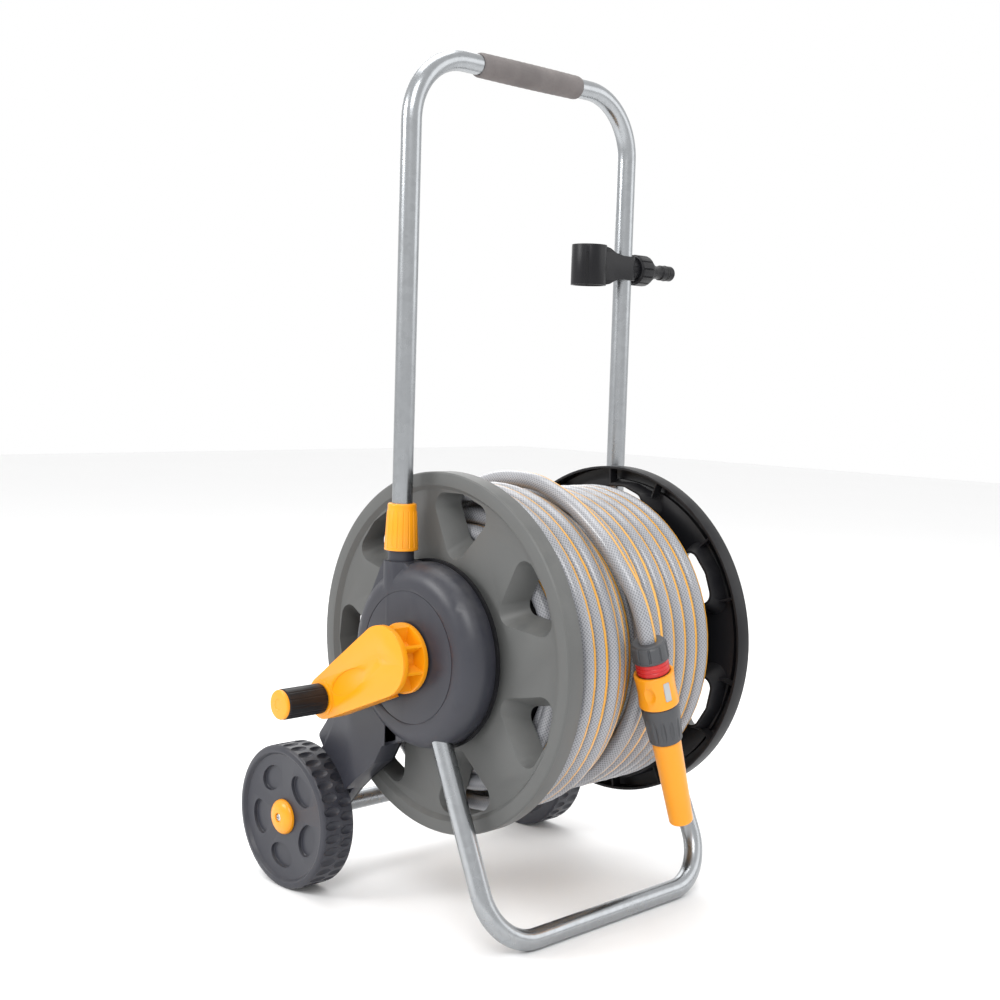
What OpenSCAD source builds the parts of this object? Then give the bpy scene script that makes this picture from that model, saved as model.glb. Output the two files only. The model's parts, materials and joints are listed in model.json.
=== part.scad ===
// Garden hose reel cart: two tube frames, plastic side frames, a flanged drum with its hose,
// a crank, two wheels and a telescopic pull handle. Millimetres, Z up, floor at z = 0.

/* [Drum] */
// Height of the drum axis above the floor
axis_z = 269; // [262:1:280]
// Radius of the drum flanges
flange_r = 177; // [175:1:178]
// Distance from mid drum to a flange's outer face
flange_u = 134; // [133.5:0.1:134.5]
// Windows round each flange
windows = 7; // [5:1:7]
// Direction of the first window, from the rear towards the top
window_angle = 99.5; // [0:0.5:120]
// Radius of the barrel that the hose is wound on
core_r = 108; // [104:1:110]

/* [Hose] */
// Outer diameter of the hose
hose_d = 17; // [16:0.5:17]
// Outer radius of the three raised turns
wind_high_r = 165; // [160:1:166]
// Outer radius of the other turns
wind_low_r = 158; // [150:1:158]
// Half width of the winding
wind_half = 102; // [98:1:102]

/* [Tubes] */
// Outer diameter of the steel tubes
tube_d = 20; // [20:1:20]
// Wall of the steel tubes
tube_wall = 1.5; // [1:0.1:2]
// Distance from mid drum to each handle leg and foot leg
leg_x = 155.5; // [155:0.1:156]
// Distance of the handle legs behind the drum axis
handle_y = 31.5; // [31:0.1:32]
// Height of the handle's top bar
handle_z = 845; // [780:1:900]
// Bend radius at the handle's corners
handle_bend = 65; // [50:1:75]
// Height of the handle legs' lower ends
handle_low_z = 218; // [205:1:225]
// Distance of the foot bar in front of the drum axis
foot_y = 116; // [100:1:125]
// Bend radius at the foot's corners
foot_bend = 53; // [40:1:60]
// Length of the foam grip
grip_len = 142; // [120:1:150]
// Diameter of the foam grip
grip_d = 25; // [24:0.5:28]

/* [Wheels] */
// Wheel radius
wheel_r = 75; // [70:1:78]
// Distance of the wheel axle behind the drum axis
wheel_y = 171; // [168:1:176]
// Wheel inner face from mid drum
wheel_in = 154.3; // [154:0.1:155]
// Wheel outer face from mid drum
wheel_out = 193; // [190:0.5:195]
// Dished recesses on each wheel face
dishes = 5; // [5:1:5]

/* [Crank] */
// Distance from the drum axis to the knob's axis
crank_len = 102; // [90:1:102]
// Direction of the crank, from the rear towards the top
crank_angle = -30; // [-60:1:30]
// Boss radius
boss_r = 34; // [30:1:36]
// Knob radius
knob_r = 15; // [13:0.5:16]
// Knob end from mid drum
knob_end = 257; // [250:1:262]

/* [Tap connector] */
// Height of the nozzle holder's middle
holder_z = 662; // [650:1:700]
// Distance from mid drum to the nozzle holder's axis
holder_x = 100; // [98:1:102]
// Free end of the tap connector from mid drum
tap_end = 237; // [235:1:240]
// Radius of the plug-in spigots
spigot_r = 8.45; // [8.4:0.01:8.5]

/* [Hidden] */
$fn = 64;

YELLOW = [0.98, 0.68, 0.10];
SLATE = [0.27, 0.28, 0.31];
DARK = [0.13, 0.13, 0.15];
GREY = [0.44, 0.44, 0.43];
STEEL = [0.75, 0.77, 0.79];
HOSE = [0.64, 0.64, 0.67];

tube_r = tube_d / 2;
run_gap = 0.05;      // radial gap of shafts that turn or slide in their bores
seat_gap = 0.1;      // radial gap of pieces that are fixed in their seats
mid_x = (tap_end - knob_end) / 2;
mid_y = (wheel_y + wheel_r - flange_r) / 2;

// flange
web_out = flange_u - 5;
web_in = web_out - 3;
rim_in = flange_u - 19;
face_u = 104;        // inner end of the window funnels
rim_wall_r = flange_r - 14;
window_r = 158;      // point that each window tapers about
window_taper = 1.35;
seat_r = 90;         // ring that carries the barrel
shaft_r = 14;

// side frame
plate_in = 137.5;
plate_out = 140.5;
dome_r = 90;
dome_u = 172;
dome_round = 22;
arm_u = 164;
arch_u = 152;        // face of the frame behind the wheel
arch_r = wheel_r + 6;
shell = 3;
bush_r = 17;
screw_r = 2;
// rear, height and the far end of each screw post
screw_places = [[-55, 310, 170], [-62, 240, 170], [72, 262, 169], [120, 165, 162]];

// side frame outline behind the axis, as rear and height, from the tower round to the notch
arm_outline = [
    [17, 358], [46, 358], [52, 350], [71, 313], [97, 227], [116, 203], [147, 163], [139, 153],
    [193, 88], [196, 68], [184, 51], [162, 48], [104, 112], [84, 130], [56, 152], [44, 172],
    [0, 190], [0, 300], [8, 352]
];

// foot frame: its legs aim at the drum axis
foot_rise = axis_z - tube_r;
foot_tilt = atan(foot_y / foot_rise);
foot_leg = sqrt(foot_y * foot_y + foot_rise * foot_rise) - 34;
rivet_at = foot_leg - 14;
rivet_r = 2.5;

// collars on the handle legs
collar_low = 368.5;
collar_high = 414;
guide_r = 12.65;

// connector chain at the hose's end, measured along the chain from the nut's mouth
chain_at = [-30, -179, 297];
chain_lean = 18.5;
nut_len = 24;
stop_len = 11;
sleeve_len = 36;
body_len = 38;
jet_len = 84;
joint_gap = 0.5;
stop_at = nut_len;
sleeve_at = stop_at + stop_len;
body_at = sleeve_at + sleeve_len + joint_gap;
jet_at = body_at + body_len + joint_gap;

// free end of the hose, from the nut over the drum and down into the turns behind
tail_route = [
    [-30, -179, 297], [-34, -179, 309], [-38, -177, 324], [-40, -170, 341], [-41, -156, 360],
    [-40, -135, 382], [-37, -110, 400], [-34, -84, 415], [-31, -57, 426], [-29, -29, 434],
    [-28, 0, 436], [-28, 29, 434], [-28, 57, 426], [-28, 84, 414], [-28, 107, 397],
    [-28, 126, 376], [-28, 140, 350], [-28, 146, 324]
];

// ---------- helpers ----------

module placed() {
    translate([-mid_x, -mid_y, 0]) children();
}

// side +1 is the right side of the drum, -1 the left side
module on_side(side) {
    placed() if (side > 0) children(); else mirror([1, 0, 0]) children();
}

module at_axis() {
    translate([0, 0, axis_z]) children();
}

module at_wheel() {
    translate([0, wheel_y, wheel_r]) children();
}

module at_knob() {
    at_axis() rotate([crank_angle, 0, 0]) translate([0, crank_len, 0]) children();
}

module rod_x(from, to, r) {
    translate([from, 0, 0]) rotate([0, 90, 0]) cylinder(h = to - from, r = r);
}

// a rear-and-height outline, thick along X
module slab_x(from, to) {
    translate([from, 0, 0]) rotate([90, 0, 90]) linear_extrude(to - from) children();
}

// a radius-and-X profile, turned about the X axis
module lathe_x() {
    rotate([90, 0, 90]) rotate_extrude($fn = 128) children();
}

module ring(r_out, r_in, h) {
    difference() {
        cylinder(h = h, r = r_out);
        translate([0, 0, -1]) cylinder(h = h + 2, r = r_in);
    }
}

// half of a U bend: half of the bar, one corner and one leg, all of radius r
module u_half(half_w, bend, leg, r) {
    rotate([0, 90, 0]) cylinder(h = half_w - bend, r = r);
    translate([half_w - bend, 0, bend]) rotate([90, 0, 0]) rotate([0, 0, -90])
        rotate_extrude(angle = 90) translate([bend, 0]) circle(r);
    translate([half_w, 0, bend]) cylinder(h = leg - bend, r = r);
}

module u_solid(half_w, bend, leg, r) {
    u_half(half_w, bend, leg, r);
    mirror([1, 0, 0]) u_half(half_w, bend, leg, r);
}

module u_tube(half_w, bend, leg) {
    difference() {
        u_solid(half_w, bend, leg, tube_r);
        u_solid(half_w, bend, leg + 1, tube_r - tube_wall);
    }
}

module in_foot() {
    translate([0, -foot_y, tube_r]) rotate([-foot_tilt, 0, 0]) children();
}

// ---------- foot, axle and side frames ----------

module foot_tube() {
    color(STEEL) difference() {
        placed() in_foot() u_tube(leg_x, foot_bend, foot_leg);
        for (side = [-1, 1]) on_side(side) rivet_hole();
    }
}

module axle_tube() {
    axle_half = wheel_out - 3;
    color(STEEL) placed() at_wheel() difference() {
        rod_x(-axle_half, axle_half, tube_r);
        rod_x(-axle_half - 1, axle_half + 1, tube_r - tube_wall);
    }
}

module arm_outline_2d() {
    offset(r = 5, $fn = 32) offset(delta = -5) polygon(arm_outline);
}

module frame_outline() {
    offset(r = 5, $fn = 32) offset(delta = -5) {
        polygon(arm_outline);
        translate([0, axis_z]) circle(dome_r, $fn = 96);
    }
}

module wheel_arch() {
    translate([wheel_y, wheel_r]) circle(arch_r, $fn = 96);
}

// the drum axis dome, shrunk by a wall
module dome(wall) {
    top = dome_u - wall;
    r = dome_r - wall;
    round_r = dome_round - wall;
    at_axis() lathe_x() polygon(concat(
        [[0, plate_out], [r, plate_out]],
        [for (a = [0 : 10 : 90]) [r - round_r + round_r * cos(a), top - round_r + round_r * sin(a)]],
        [[0, top]]
    ));
}

module leg_cylinder(from, to, r) {
    translate([leg_x, handle_y, from]) cylinder(h = to - from, r = r);
}

module foot_cylinder(from, to, r) {
    in_foot() translate([leg_x, 0, foot_leg + 34 - to]) cylinder(h = to - from, r = r);
}

module frame_body() {
    slab_x(plate_out, arm_u) difference() {
        arm_outline_2d();
        wheel_arch();
    }
    slab_x(plate_out, arch_u - 3) frame_outline();
    slab_x(plate_out, arch_u) arm_outline_2d();
    dome(0);
    leg_cylinder(290, 358, guide_r + 4);
}

module frame_hollow() {
    slab_x(plate_out - 1, arm_u - shell) offset(delta = -shell) difference() {
        arm_outline_2d();
        wheel_arch();
    }
    slab_x(plate_out - 1, arch_u - 3 - shell) offset(delta = -shell) frame_outline();
    slab_x(plate_out - 1, arch_u - shell) offset(delta = -shell) arm_outline_2d();
    dome(shell);
    leg_cylinder(280, 355, guide_r + 2);
}

module at_screws() {
    for (p = screw_places) translate([0, p[0], p[1]]) children();
}

module screw_posts(r) {
    for (p = screw_places) translate([0, p[0], p[1]]) rod_x(plate_out + seat_gap, p[2], r);
}

// hole for the rivet through a foot leg's upper end
module rivet_hole() {
    in_foot() translate([0, 0, rivet_at]) rod_x(plate_in - 1, leg_x + tube_d, rivet_r + seat_gap);
}

module hub_cover(side) {
    color(SLATE) on_side(side) difference() {
        union() {
            difference() {
                frame_body();
                frame_hollow();
            }
            screw_posts(5);
        }
        translate([0, -300, 0]) cube([plate_out, 600, 600]);
        leg_cylinder(350, 360, guide_r + seat_gap);
        leg_cylinder(120, 215, tube_r + 2);
        foot_cylinder(30, 120, tube_r + seat_gap);
        at_axis() rod_x(plate_out, dome_u + 1, bush_r);
        at_wheel() rod_x(plate_out, arch_u + 1, tube_r + seat_gap);
        at_screws() rod_x(plate_out, 158, screw_r + seat_gap);
    }
}

module side_plate(side) {
    color(DARK) on_side(side) difference() {
        union() {
            slab_x(plate_in, plate_out) {
                frame_outline();
                translate([0, axis_z]) circle(dome_r + 3, $fn = 96);
            }
            at_axis() rod_x(plate_in, 152, bush_r + 2.5);
            at_wheel() rod_x(plate_in, arch_u - shell - 0.5, tube_r + 4);
            intersection() {
                union() {
                    leg_cylinder(190, 212, tube_r + 3);
                    foot_cylinder(42, 66, tube_r + 3);
                }
                slab_x(plate_out, leg_x) translate([-200, 0]) square(500);
            }
            translate([plate_out - 1, handle_y - 8, 190]) cube([6, 16, 22]);
            in_foot() translate([plate_out - 1, -8, foot_leg - 32]) cube([6, 16, 24]);
        }
        leg_cylinder(100, 356, tube_r + 0.2);
        leg_cylinder(295, 360, guide_r + seat_gap);
        foot_cylinder(30, 120, tube_r + seat_gap);
        at_axis() rod_x(plate_in - 1, 153, bush_r);
        at_wheel() rod_x(plate_in - 1, arch_u, tube_r + seat_gap);
        at_screws() rod_x(plate_in - 1, 150, screw_r + seat_gap);
        at_screws() rod_x(plate_in - 1, plate_in + 1.5, 2 * screw_r + seat_gap);
        rivet_hole();
    }
}

module side_plate_left() { side_plate(-1); }
module side_plate_right() { side_plate(1); }
module hub_cover_left() { hub_cover(-1); }
module hub_cover_right() { hub_cover(1); }

// slotted sleeve that the handle leg slides in
module leg_guide(side) {
    color(SLATE) on_side(side) difference() {
        leg_cylinder(300, collar_high - 8, guide_r);
        leg_cylinder(299, collar_high, tube_r + run_gap);
        for (a = [0, 90]) translate([leg_x, handle_y, collar_high - 10]) rotate([0, 0, a + 45])
            cube([2, 4 * guide_r, 50], center = true);
    }
}

module leg_guide_left() { leg_guide(-1); }
module leg_guide_right() { leg_guide(1); }

module drum_bush(side) {
    color("ivory") on_side(side) at_axis() difference() {
        union() {
            rod_x(plate_in + 0.2, 152, bush_r - seat_gap);
            rod_x(152.2, 154, bush_r + 2.5);
            rod_x(151.5, 152.5, bush_r - seat_gap);
        }
        rod_x(plate_in - 1, 155, shaft_r + run_gap);
    }
}

module drum_bush_left() { drum_bush(-1); }
module drum_bush_right() { drum_bush(1); }

module cover_screws(side) {
    color(STEEL) on_side(side) {
        at_screws() rod_x(plate_in - 0.5, 157, screw_r);
        at_screws() rod_x(plate_in - 0.5, plate_in + 1.4, 2 * screw_r);
    }
}

module cover_screws_left() { cover_screws(-1); }
module cover_screws_right() { cover_screws(1); }

// rivets that hold the foot's legs in the side plates
module foot_rivets() {
    color(STEEL) for (side = [-1, 1]) on_side(side) in_foot() translate([0, 0, rivet_at]) {
        rod_x(plate_in - 1, leg_x + tube_r + 1, rivet_r);
        rod_x(plate_in - 1.7, plate_in - 0.1, 2 * rivet_r);
        rod_x(leg_x + tube_r + 0.1, leg_x + tube_r + 1.7, 2 * rivet_r);
    }
}

// ---------- wheels ----------

module wheel_face_cut() {
    for (i = [0 : dishes - 1]) rotate([i * 360 / dishes, 0, 0]) translate([0, 40, 0])
        lathe_x() polygon([[0, 0], [12, 0], [15, 3], [17, 9], [0, 9]]);
}

module wheel(side) {
    step = 6;
    color(SLATE) on_side(side) at_wheel() difference() {
        lathe_x() polygon([
            [tube_r + run_gap, wheel_in], [22, wheel_in], [24, wheel_in + 5], [60, wheel_in + 5],
            [64, wheel_in], [wheel_r - step, wheel_in], [wheel_r - 2, wheel_in + 2],
            [wheel_r, wheel_in + step], [wheel_r, wheel_out - 2 * step],
            [wheel_r - 2, wheel_out - step], [wheel_r - 7, wheel_out - 1], [wheel_r - 10, wheel_out],
            [wheel_r - 13, wheel_out - 2], [wheel_r - 14, wheel_out - 4], [17, wheel_out - 4],
            [17, wheel_out - 2.7], [tube_r + run_gap, wheel_out - 2.7]
        ]);
        translate([wheel_out - 11, 0, 0]) wheel_face_cut();
    }
}

module wheel_left() { wheel(-1); }
module wheel_right() { wheel(1); }

module wheel_cap(side) {
    head_at = wheel_out - 2.4;
    color(YELLOW) on_side(side) at_wheel() difference() {
        union() {
            lathe_x() polygon([
                [0, head_at], [15.5, head_at], [15.5, head_at + 3], [14, head_at + 5.5],
                [10, head_at + 7.4], [5, head_at + 8], [0, head_at + 8]
            ]);
            rod_x(head_at - 24, head_at + 1, tube_r - tube_wall - seat_gap);
        }
        rod_x(head_at - 25, head_at + 9, screw_r + seat_gap);
        rod_x(head_at + 5, head_at + 9, 2 * screw_r + seat_gap);
    }
}

module wheel_cap_left() { wheel_cap(-1); }
module wheel_cap_right() { wheel_cap(1); }

module wheel_screws() {
    color(STEEL) for (side = [-1, 1]) on_side(side) at_wheel() {
        rod_x(wheel_out - 24, wheel_out + 3.6, screw_r);
        rod_x(wheel_out + 2.7, wheel_out + 4.4, 2 * screw_r);
    }
}

// ---------- water inlet on the right hub ----------

module water_inlet() {
    elbow_u = 192;
    drop = 64;
    color(DARK) on_side(1) at_axis() difference() {
        union() {
            rod_x(dome_u + 0.2, dome_u + 4, 24);
            rod_x(dome_u + 3, elbow_u, 11);
            rod_x(142, dome_u + 3, 5.9);
            translate([elbow_u, 0, 0]) sphere(11);
            translate([elbow_u, 0, -30]) cylinder(h = 30, r = 11);
            translate([elbow_u, 0, -36]) cylinder(h = 7, r = 13);
            translate([elbow_u, 0, -drop]) cylinder(h = 30, r = spigot_r);
        }
        rod_x(140, elbow_u, 3.5);
        rod_x(145, 147.4, 20);
        translate([elbow_u, 0, -drop - 1]) cylinder(h = drop + 1, r = 4.5);
    }
    color(DARK) on_side(1) at_axis() difference() {
        rod_x(144.9, 147.5, 4.6);
        rod_x(140, 150, 3.5);
    }
}

module inlet_o_ring() {
    color("black") on_side(1) at_axis() translate([146.2, 0, 0]) rotate([0, 90, 0])
        rotate_extrude() translate([5.28, 0]) circle(0.65, $fn = 24);
}

// ---------- handle ----------

module handle_tube() {
    leg = handle_z - handle_low_z;
    color(STEEL) placed() translate([0, handle_y, handle_z]) mirror([0, 0, 1])
        u_tube(leg_x, handle_bend, leg);
}

module foam_grip() {
    color([0.45, 0.42, 0.42]) placed() translate([0, handle_y, handle_z]) difference() {
        rod_x(-grip_len / 2, grip_len / 2, grip_d / 2);
        rod_x(-grip_len, grip_len, tube_r + 0.02);
    }
}

module leg_plugs() {
    color(DARK) for (side = [-1, 1]) on_side(side) {
        leg_cylinder(handle_low_z - 2, handle_low_z - 0.05, tube_r - 0.2);
        leg_cylinder(handle_low_z - 1, handle_low_z + 16, tube_r - tube_wall - seat_gap);
    }
}

module nozzle_holder() {
    cup_r = 19;
    cup_h = 43;
    band_h = 30;
    color(DARK) on_side(1) translate([0, handle_y, holder_z]) difference() {
        union() {
            translate([holder_x, 0, -cup_h / 2]) cylinder(h = cup_h, r = cup_r);
            translate([leg_x, 0, -band_h / 2]) cylinder(h = band_h, r = tube_r + 3.5);
            translate([holder_x, -tube_r - 3.5, -band_h / 2])
                cube([leg_x - holder_x, tube_r + 6, band_h]);
            rod_x(leg_x, leg_x + 29, 12.5);
        }
        translate([holder_x, 0, -cup_h]) cylinder(h = 2 * cup_h, r = cup_r - 2.6);
        translate([leg_x, 0, -cup_h]) cylinder(h = 2 * cup_h, r = tube_r + 0.02);
    }
}

module tap_connector() {
    nut_at = leg_x + 15.5;
    nut_end = nut_at + 26;
    color(DARK) on_side(1) translate([0, handle_y, holder_z]) difference() {
        lathe_x() polygon([
            [0, nut_at], [16, nut_at], [17, nut_at + 1.5], [17, nut_end - 5], [13, nut_end],
            [11, nut_end + 3], [8, nut_end + 9], [7.2, nut_end + 16], [7.2, nut_end + 20],
            [spigot_r, nut_end + 20.5], [spigot_r, tap_end - 2], [7.6, tap_end], [0, tap_end]
        ]);
        rod_x(nut_at - 1, nut_at + 16, 12.5 + run_gap);
        rod_x(nut_at, tap_end + 1, 5);
    }
}

module tap_washer() {
    color("black") on_side(1) translate([0, handle_y, holder_z]) difference() {
        rod_x(leg_x + 29.3, leg_x + 31.3, 12.2);
        rod_x(leg_x + 29, leg_x + 32, 6);
    }
}

module collar(side) {
    color(YELLOW) on_side(side) translate([leg_x, handle_y, 0]) difference() {
        rotate_extrude() polygon([
            [0, collar_low], [16.6, collar_low], [16.6, collar_low + 3],
            [14.4, collar_high - 6], [13.9, collar_high - 1], [12.9, collar_high], [0, collar_high]
        ]);
        translate([0, 0, collar_low - 1]) cylinder(h = 500, r = tube_r + 0.15);
        translate([0, 0, collar_low - 1])
            cylinder(h = collar_high - 6.5 - collar_low, r = guide_r + 0.1);
    }
}

module collar_left() { collar(-1); }
module collar_right() { collar(1); }

// ---------- drum ----------

// small end of a window, about the point that it tapers from
module window_2d(grow) {
    offset(r = 10 + grow, $fn = 40) polygon([[-37, 0], [-12, -17], [-9, 0], [-12, 17]]);
}

function taper_at(u) = 1 + (window_taper - 1) * (u - face_u) / (web_out - face_u);

module window_funnels(from, to, grow) {
    for (i = [0 : windows - 1]) rotate([window_angle + i * 360 / windows, 0, 0])
        translate([from, window_r, 0]) rotate([90, 0, 90])
            linear_extrude(to - from, scale = taper_at(to) / taper_at(from))
                scale(taper_at(from)) window_2d(grow);
}

module flange_ribs() {
    for (i = [0 : windows - 1], a = [-11, 11])
        rotate([window_angle + a + i * 360 / windows, 0, 0])
            translate([rim_in + 1, window_r - 5, -1]) cube([web_in - rim_in, 22.5, 2]);
}

module flange(side) {
    color(side < 0 ? GREY : DARK) on_side(side) at_axis() difference() {
        union() {
            lathe_x() polygon([
                [0, web_in], [rim_wall_r, web_in], [rim_wall_r, flange_u - 2.5],
                [flange_r - 2.5, flange_u - 2.5], [flange_r - 2.5, rim_in], [flange_r, rim_in],
                [flange_r, flange_u - 1.5], [flange_r - 1.5, flange_u], [rim_wall_r + 1, flange_u],
                [rim_wall_r - 3, web_out], [0, web_out]
            ]);
            window_funnels(face_u, web_in + 1, 2.5);
            flange_ribs();
            lathe_x() polygon([[seat_r - 3, face_u + 0.2], [seat_r, face_u + 0.2],
                [seat_r, web_in + 1], [seat_r - 3, web_in + 1]]);
            rod_x(110, web_out + 6, shaft_r + 5);
            for (i = [0 : 5]) rotate([60 * i, 0, 0]) translate([0, 82, 0])
                rod_x(face_u + 0.2, web_in + 1, 6);
        }
        window_funnels(face_u - 1, web_out + 1, 0);
        rod_x(100, flange_u + 9, shaft_r + seat_gap);
        for (i = [0 : 5]) rotate([60 * i, 0, 0]) translate([0, 82, 0])
            rod_x(face_u, face_u + 16, screw_r + seat_gap);
    }
}

module flange_left() { flange(-1); }
module flange_right() { flange(1); }

// half of the barrel, with an inner ring at mid drum and an end ring at the flange
module core(side) {
    outlet_u = 86;
    color(DARK) on_side(side) at_axis() difference() {
        lathe_x() polygon([
            [76, 0.1], [core_r, 0.1], [core_r, face_u], [76, face_u], [76, face_u - 3],
            [core_r - 3, face_u - 3], [core_r - 3, 3.1], [76, 3.1]
        ]);
        for (i = [0 : 5]) rotate([60 * i, 0, 0]) translate([0, 82, 0])
            rod_x(-1, face_u + 1, screw_r + seat_gap);
        if (side > 0) translate([outlet_u, 0, -core_r - 1]) cylinder(h = 10, r = 9 + seat_gap);
    }
}

module core_left() { core(-1); }
module core_right() { core(1); }

module drum_screws() {
    color(STEEL) {
        for (side = [-1, 1]) on_side(side) at_axis() for (i = [0 : 5])
            rotate([60 * i, 0, 0]) translate([0, 82, 0]) {
                rod_x(face_u - 3.2, face_u + 15, screw_r);
                rod_x(face_u - 5, face_u - 3.1, 2 * screw_r);
            }
        placed() at_axis() for (i = [0 : 5]) rotate([60 * i, 0, 0]) translate([0, 82, 0]) {
            rod_x(-5, 5, screw_r);
            rod_x(3.3, 5.3, 2 * screw_r);
            rod_x(-5.3, -3.3, 2 * screw_r);
        }
    }
}

module drive_shaft() {
    color(DARK) on_side(-1) at_axis() difference() {
        rod_x(100, 192, shaft_r);
        rod_x(99, 180, shaft_r - 4);
        rod_x(179, 193, screw_r + seat_gap);
    }
}

module swivel_pipe() {
    color(DARK) on_side(1) at_axis() difference() {
        rod_x(76, 168, shaft_r);
        rod_x(94, 169, 6);
        translate([86, 0, 0]) rotate([180, 0, 0]) cylinder(h = 20, r = 9 + seat_gap);
    }
}

// pipe from the swivel to the barrel's surface, where the hose starts
module outlet_pipe() {
    color(DARK) on_side(1) at_axis() translate([86, 0, -core_r]) difference() {
        union() {
            translate([0, 0, 0.5]) cylinder(h = core_r - 0.5, r = 9);
            translate([0, 0, 4.5]) cylinder(h = 4, r = 12);
        }
        translate([0, 0, -1]) cylinder(h = core_r - 5, r = 5.5);
        translate([0, 0, core_r]) rod_x(0, 20, 5.5);
    }
}

// ---------- crank ----------

module arm_2d(shrink) {
    hull() {
        circle(boss_r - shrink);
        translate([crank_len, 0]) circle(21 - shrink);
    }
}

module crank_arm() {
    disc_u = dome_u + 2.5;
    face = 205;
    color(YELLOW) on_side(-1) at_axis() rotate([crank_angle, 0, 0]) difference() {
        union() {
            rod_x(disc_u, disc_u + 4.5, boss_r);
            rod_x(disc_u, face, shaft_r + 4);
            slab_x(face - 6, face) arm_2d(0);
            slab_x(disc_u + 6, face) difference() {
                arm_2d(0);
                arm_2d(3.5);
                translate([-boss_r - 1, -boss_r - 1]) square([boss_r + 20, 2 * boss_r + 2]);
            }
            for (a = [0 : 45 : 315]) rotate([a, 0, 0])
                translate([disc_u, shaft_r, -1.5]) cube([face - disc_u, boss_r - shaft_r - 1, 3]);
            slab_x(disc_u + 10, face) translate([shaft_r, -1.5]) square([crank_len - 30, 3]);
            translate([0, crank_len, 0]) rod_x(disc_u + 6, face + 2, 18);
            translate([0, crank_len, 0]) rod_x(face, 250, 7);
        }
        rod_x(disc_u - 1, 192.2, shaft_r + seat_gap);
        rod_x(190, face + 1, screw_r + seat_gap);
        rod_x(face - 3, face + 1, 2 * screw_r + seat_gap);
    }
}

module crank_screw() {
    color(STEEL) on_side(-1) at_axis() {
        rod_x(176, 203, screw_r);
        rod_x(202.1, 204, 2 * screw_r);
    }
}

module knob_grip() {
    color(DARK) on_side(-1) at_knob() difference() {
        rod_x(207.4, knob_end - 3.5, knob_r);
        rod_x(200, 251, 7 + run_gap);
    }
}

module knob_cap() {
    color(YELLOW) on_side(-1) at_knob() {
        rod_x(knob_end - 3.5, knob_end - 1, knob_r - 0.4);
        rod_x(knob_end - 1.2, knob_end, knob_r - 1.6);
    }
}

// ---------- hose ----------

module hose_winding() {
    high_end = -wind_half + 3 * hose_d;
    color(HOSE) placed() at_axis() lathe_x() polygon([
        [core_r, -wind_half], [wind_high_r - 4, -wind_half], [wind_high_r, -wind_half + 4],
        [wind_high_r, high_end - 2], [wind_low_r, high_end], [wind_low_r, wind_half - 4],
        [wind_low_r - 4, wind_half], [core_r, wind_half]
    ]);
}

function unit(v) = v / norm(v);

// direction of the route at point i
function route_dir(route, i) =
    unit(route[min(i + 1, len(route) - 1)] - route[max(i - 1, 0)]);

// ring of points round the route at point i
function tube_ring(route, i, r, sides) =
    let (d = route_dir(route, i), a = [1, 0, 0] - d[0] * d, u = unit(a), v = cross(d, u))
    [for (k = [0 : sides - 1]) route[i] + r * (cos(360 * k / sides) * u + sin(360 * k / sides) * v)];

module tube_along(route, r, sides) {
    last = len(route) - 1;
    points = [for (i = [0 : last]) each tube_ring(route, i, r, sides)];
    walls = [for (i = [0 : last - 1], k = [0 : sides - 1])
        let (a = i * sides + k, b = i * sides + (k + 1) % sides)
        each [[a, a + sides, b + sides], [a, b + sides, b]]];
    ends = [[for (k = [0 : sides - 1]) k], [for (k = [sides - 1 : -1 : 0]) last * sides + k]];
    polyhedron(points, concat(walls, ends));
}

module hose_tail() {
    color(HOSE) placed() tube_along(tail_route, hose_d / 2, 12);
}

module on_chain() {
    placed() translate(chain_at) rotate([0, 180 - chain_lean, 0]) children();
}

module bored(r, from = -1, to = 400) {
    difference() {
        children();
        translate([0, 0, from]) cylinder(h = to - from, r = r);
    }
}

module hose_nut() {
    color(DARK) on_chain() bored(6) rotate_extrude() polygon([
        [0, 0], [15, 0], [18.5, 3], [19.5, 6], [19.5, nut_len - 2], [18.5, nut_len], [0, nut_len]
    ]);
}

module stop_collar() {
    color([0.80, 0.12, 0.14]) on_chain() bored(6) translate([0, 0, stop_at + 0.1])
        cylinder(h = stop_len - 0.2, r = 17.5);
}

module connector_core() {
    color(GREY) on_chain() translate([0, 0, sleeve_at]) bored(spigot_r + 0.1, 5, 100) bored(6)
        cylinder(h = sleeve_len - 1, r = 15);
}

module release_sleeve() {
    color(YELLOW) on_chain() translate([0, 0, sleeve_at]) difference() {
        rotate_extrude() polygon([
            [0, 0], [19.5, 0], [20.8, 2], [20.8, sleeve_len - 2], [19.8, sleeve_len],
            [0, sleeve_len]
        ]);
        translate([0, 0, -1]) cylinder(h = sleeve_len + 2, r = 15 + run_gap);
        translate([0, 0, -1]) cylinder(h = 5.5, r = 17.9);
        rotate([0, 0, -100]) translate([14, -2, 12]) cube([10, 4, 16]);
    }
}

module nozzle_body() {
    color(GREY) on_chain() translate([0, 0, body_at]) bored(5, -40, 100) {
        rotate_extrude() polygon([
            [0, -20], [spigot_r, -20], [spigot_r, 0.5], [0, 0.5]
        ]);
        rotate_extrude() polygon([
            [0, 0], [18.6, 0], [19.6, 2], [19.6, 12], [17.5, body_len - 1], [16.5, body_len],
            [0, body_len]
        ]);
    }
}

module nozzle_jet() {
    color(YELLOW) on_chain() translate([0, 0, jet_at]) bored(4) rotate_extrude() polygon([
        [0, 0], [15, 0], [12.4, jet_len - 4], [11.4, jet_len], [0, jet_len]
    ]);
}

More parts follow.
